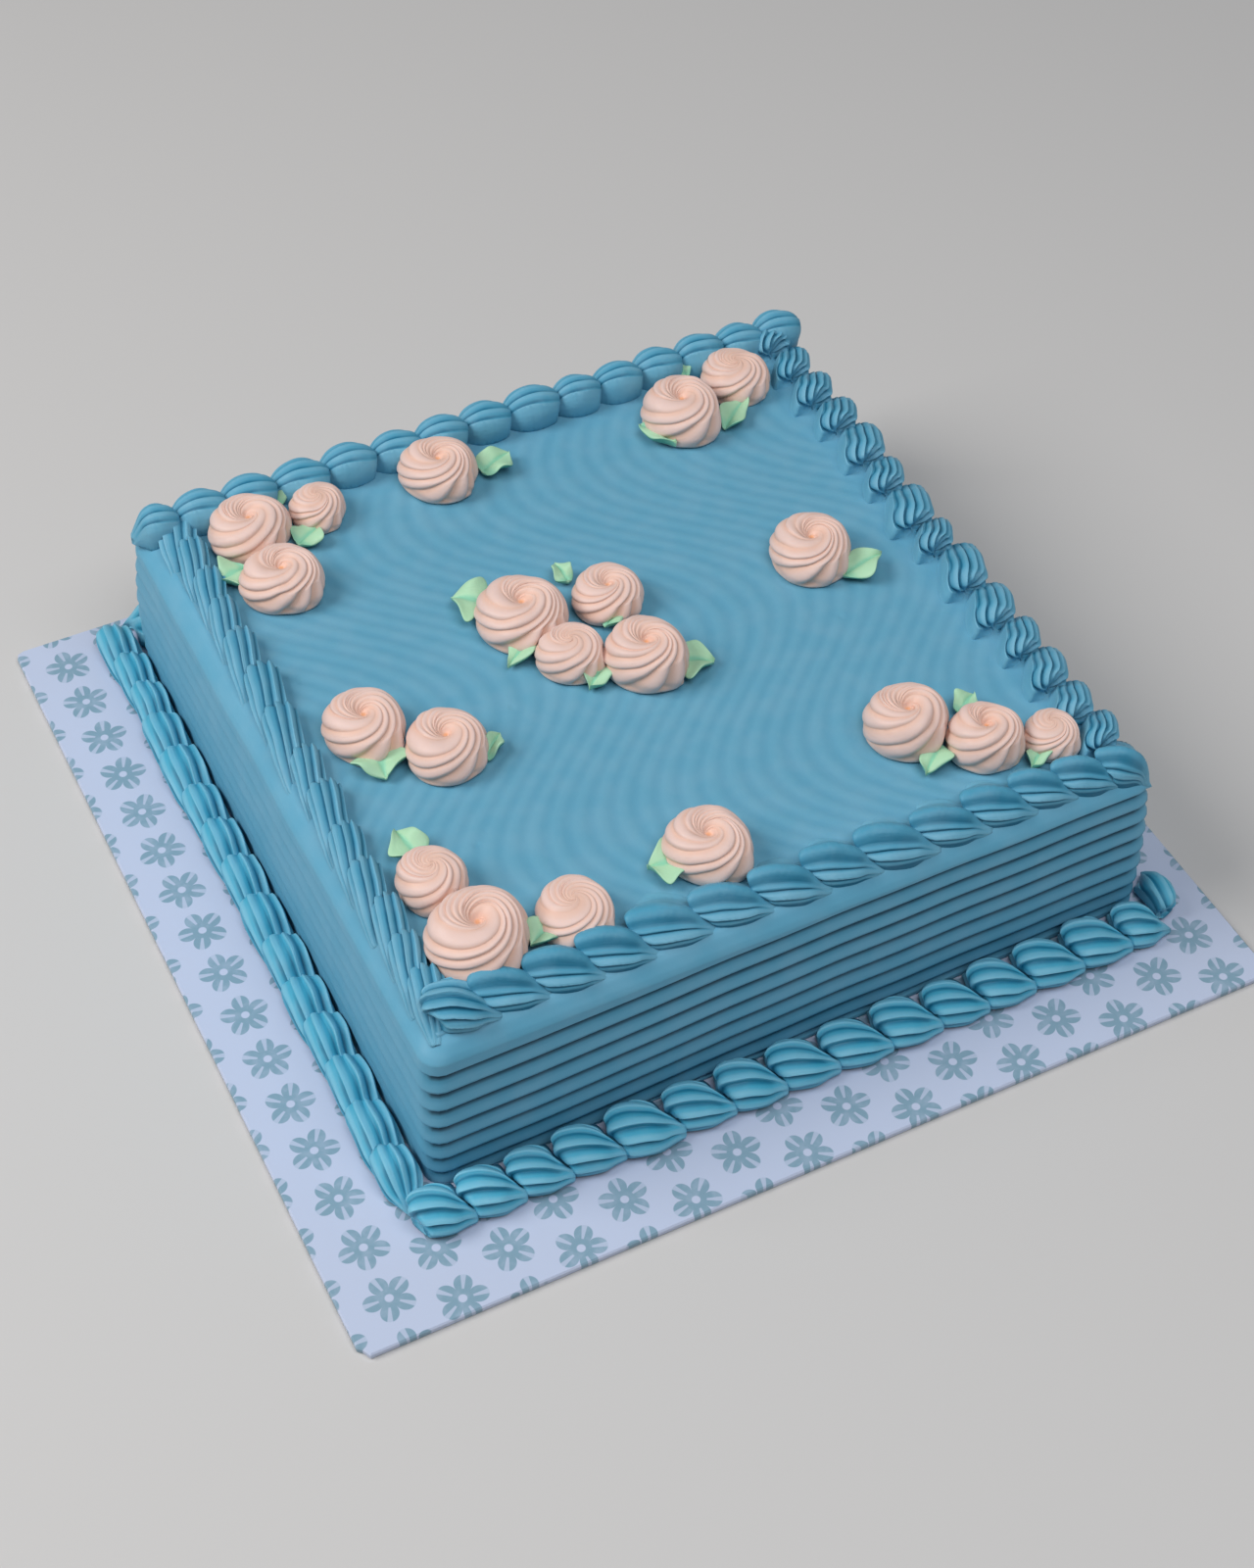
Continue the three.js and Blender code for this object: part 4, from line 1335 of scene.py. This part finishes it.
TOP_RUNS = (
    (Side.FRONT, (-97.5, -85.5, -71.5, -57.5, -43.5, -27, -11, 3.5, 18.5, 34.5, 49.5, 63.5, 75.5, 88), 12,
     RunShape(DOMED_TIP, outward=90.4, sweep=6.2, radius=6.5, height=7.3, reach=5, bend=1.15, bow=1.8, drape=True,
              tail=0.26, sag=0.35, ball=0.3, round_head=0.1, nose=0.3, skew=6.0, set_back=5.0, overhang=1.4,
              cleft=0.8, first_depth=0.9, first_size=1.3, first_section=STAR_TIP, last_reach=3, last_sweep=9.0)),
    (Side.RIGHT, (-93, -81.5, -69, -55.5, -42.5, -27.5, -10.5, 1, 17, 30, 46, 59, 72, 85), 13.5,
     RunShape(FAN_TIP, outward=92.0, sweep=9.0, radius=6.2, height=7.2, reach=4, bend=1.0, drift=1.2,
              tail=0.7, sag=0.35, ball=0.25, round_top=0.5, nose=-0.2, skew=9.0, set_back=2.5, overhang=-2.0,
              cleft=2.2, first_depth=0.95, last_tail=0.6, last_reach=2)),
    (Side.BACK, (-105, -92, -79, -65.5, -52, -38.5, -25.3, -10, 4, 18, 32, 46.5, 62, 77, 91), 12,
     RunShape(BALL_TIP, outward=94.6, sweep=2.5, radius=6.9, height=9.4, reach=2, bend=1.2,
              tail=0.42, sag=0.3, ball=1.0, round_head=0.2, skew=1.5, set_back=1.5, tuck=1.0,
              first_depth=0.7, last_tail=0.4, last_reach=0)),
    (Side.LEFT, (-98, -85, -72, -59.5, -46, -31, -15, 1, 14.5, 29.5, 43, 56, 68.5, 80), 15,
     RunShape(FINE_TIP, outward=91.4, sweep=5.6, radius=4.5, height=5.6, reach=9, bend=0.9, drift=1.8, drape=True,
              tail=0.55, sag=0.8, skew=4.0, cleft=0.8, first_depth=0.9, first_size=1.25, last_tail=0.35,
              last_reach=3)),
)

BASE_STARTS = (-112, -99.3, -86, -73, -58.6, -42.5, -27.8, -13.2, 2, 17.6, 32.5, 46.4, 60.8, 76, 91.4)
BASE_LAST_PITCH = 13.5
BARE_BOARD = {Side.RIGHT: (1, 2)}
BASE_SHAPE = RunShape(BASE_TIP, outward=110.8, sweep=5.4, radius=7.2, height=9.7, reach=2.2, bend=1.15,
                      clear_of=104.7, tail=0.34, sag=0.1, stand=0.6, ball=0.3, apron=3.6, nose=0.15, skew=6.0,
                      set_back=2.8, tuck=2.2, cleft=0.9, first_depth=0.95, last_reach=1)
NARROW_SHAPE = replace(BASE_SHAPE, outward=107.4, sweep=2.4, radius=5.4, set_back=1.5, nose=-0.2, ball=0.6)
SMOOTH_SHAPE = RunShape(TipSection.star(((174, 0.25), (134, 0.36), (94, 0.32), (58, 0.1), (22, 0.05), (-25, 0.03))),
                        outward=109.0, sweep=1.6, radius=6.2, height=8.6, reach=9, bend=0.9, clear_of=104.7,
                        tail=0.5, sag=0.6, round_top=0.3, skew=3.0)
BASE_SHAPES = {Side.FRONT: BASE_SHAPE, Side.RIGHT: NARROW_SHAPE, Side.BACK: BASE_SHAPE, Side.LEFT: SMOOTH_SHAPE}


def build_borders(finish: bpy.types.Material, base_finish: bpy.types.Material) -> None:
    """Pipes the four runs on top and the four at the base.

    Args:
        finish: The cream of the runs on top.
        base_finish: The cream of the runs at the base, the piping cream painted brighter to stand in for light.
    """
    for side, starts, last_pitch, shape in TOP_RUNS:
        word, seed = side.name.lower(), 100.0 * side.value
        run = ShellRun(f"piped_top_{word}", f"top_border_{word}", side, starts, last_pitch, ON_TOP, seed, shape)
        run.build(finish)
    for side, shape in BASE_SHAPES.items():
        word, seed = side.name.lower(), 100.0 * side.value + 500
        run = ShellRun(f"piped_base_{word}", f"base_border_{word}", side, BASE_STARTS, BASE_LAST_PITCH,
                       CAKE_UNDERSIDE, seed, shape, BARE_BOARD.get(side, ()))
        run.build(base_finish)


def main() -> None:
    """Builds the cake piece by piece and sets up the studio."""
    logging.basicConfig(level=logging.INFO, format="%(name)s: %(message)s")
    # each cream's colours: a painted highlight for crests, the plain cream, and painted shade for grooves and hollows;
    # the coat's is near black for the dark lines under the comb marks
    coat = CreamFinish("coat_cream", (0.115, 0.38, 0.55), (0.085, 0.335, 0.50), (0.003, 0.04, 0.075),
                       glow=0.04, grain=0.00003)
    top = CreamFinish("combed_cream", (0.13, 0.375, 0.525), (0.112, 0.345, 0.495), (0.07, 0.29, 0.44), grain=0.00003)
    piping = CreamFinish("piping_cream", (0.14, 0.41, 0.57), (0.075, 0.33, 0.49), (0.003, 0.145, 0.26),
                         streaks=1.6, grain=0.0001)
    # the base runs' cream is the piping cream painted brighter, standing in for light that the base doesn't get
    base = CreamFinish("base_cream_painted_brighter", (0.17, 0.51, 0.68), (0.06, 0.40, 0.58), (0.004, 0.18, 0.31),
                       streaks=1.6, grain=0.0001)
    rose = CreamFinish("rose_cream", (0.80, 0.59, 0.53), (0.80, 0.52, 0.41), (0.88, 0.38, 0.15),
                       streaks=0.8, grain=0.00008)
    leaf = CreamFinish("leaf_cream", (0.42, 0.70, 0.46), (0.26, 0.62, 0.42), (0.02, 0.27, 0.18),
                       streaks=1.0, grain=0.0001)
    cake = CakeCoat(coat, top)
    cake.walls()
    cake.top()
    build_borders(piping.material(), base.material())
    Rosettes(ROSETTES, rose).build()
    Leaves(LEAVES, leaf).build()
    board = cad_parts["board"]
    board.data.materials.clear()
    board.data.materials.append(WrappedBoardFinish().material())
    LOG.info("board: kept with its printed wrap")
    Studio().build()


if __name__ == "__main__":
    main()
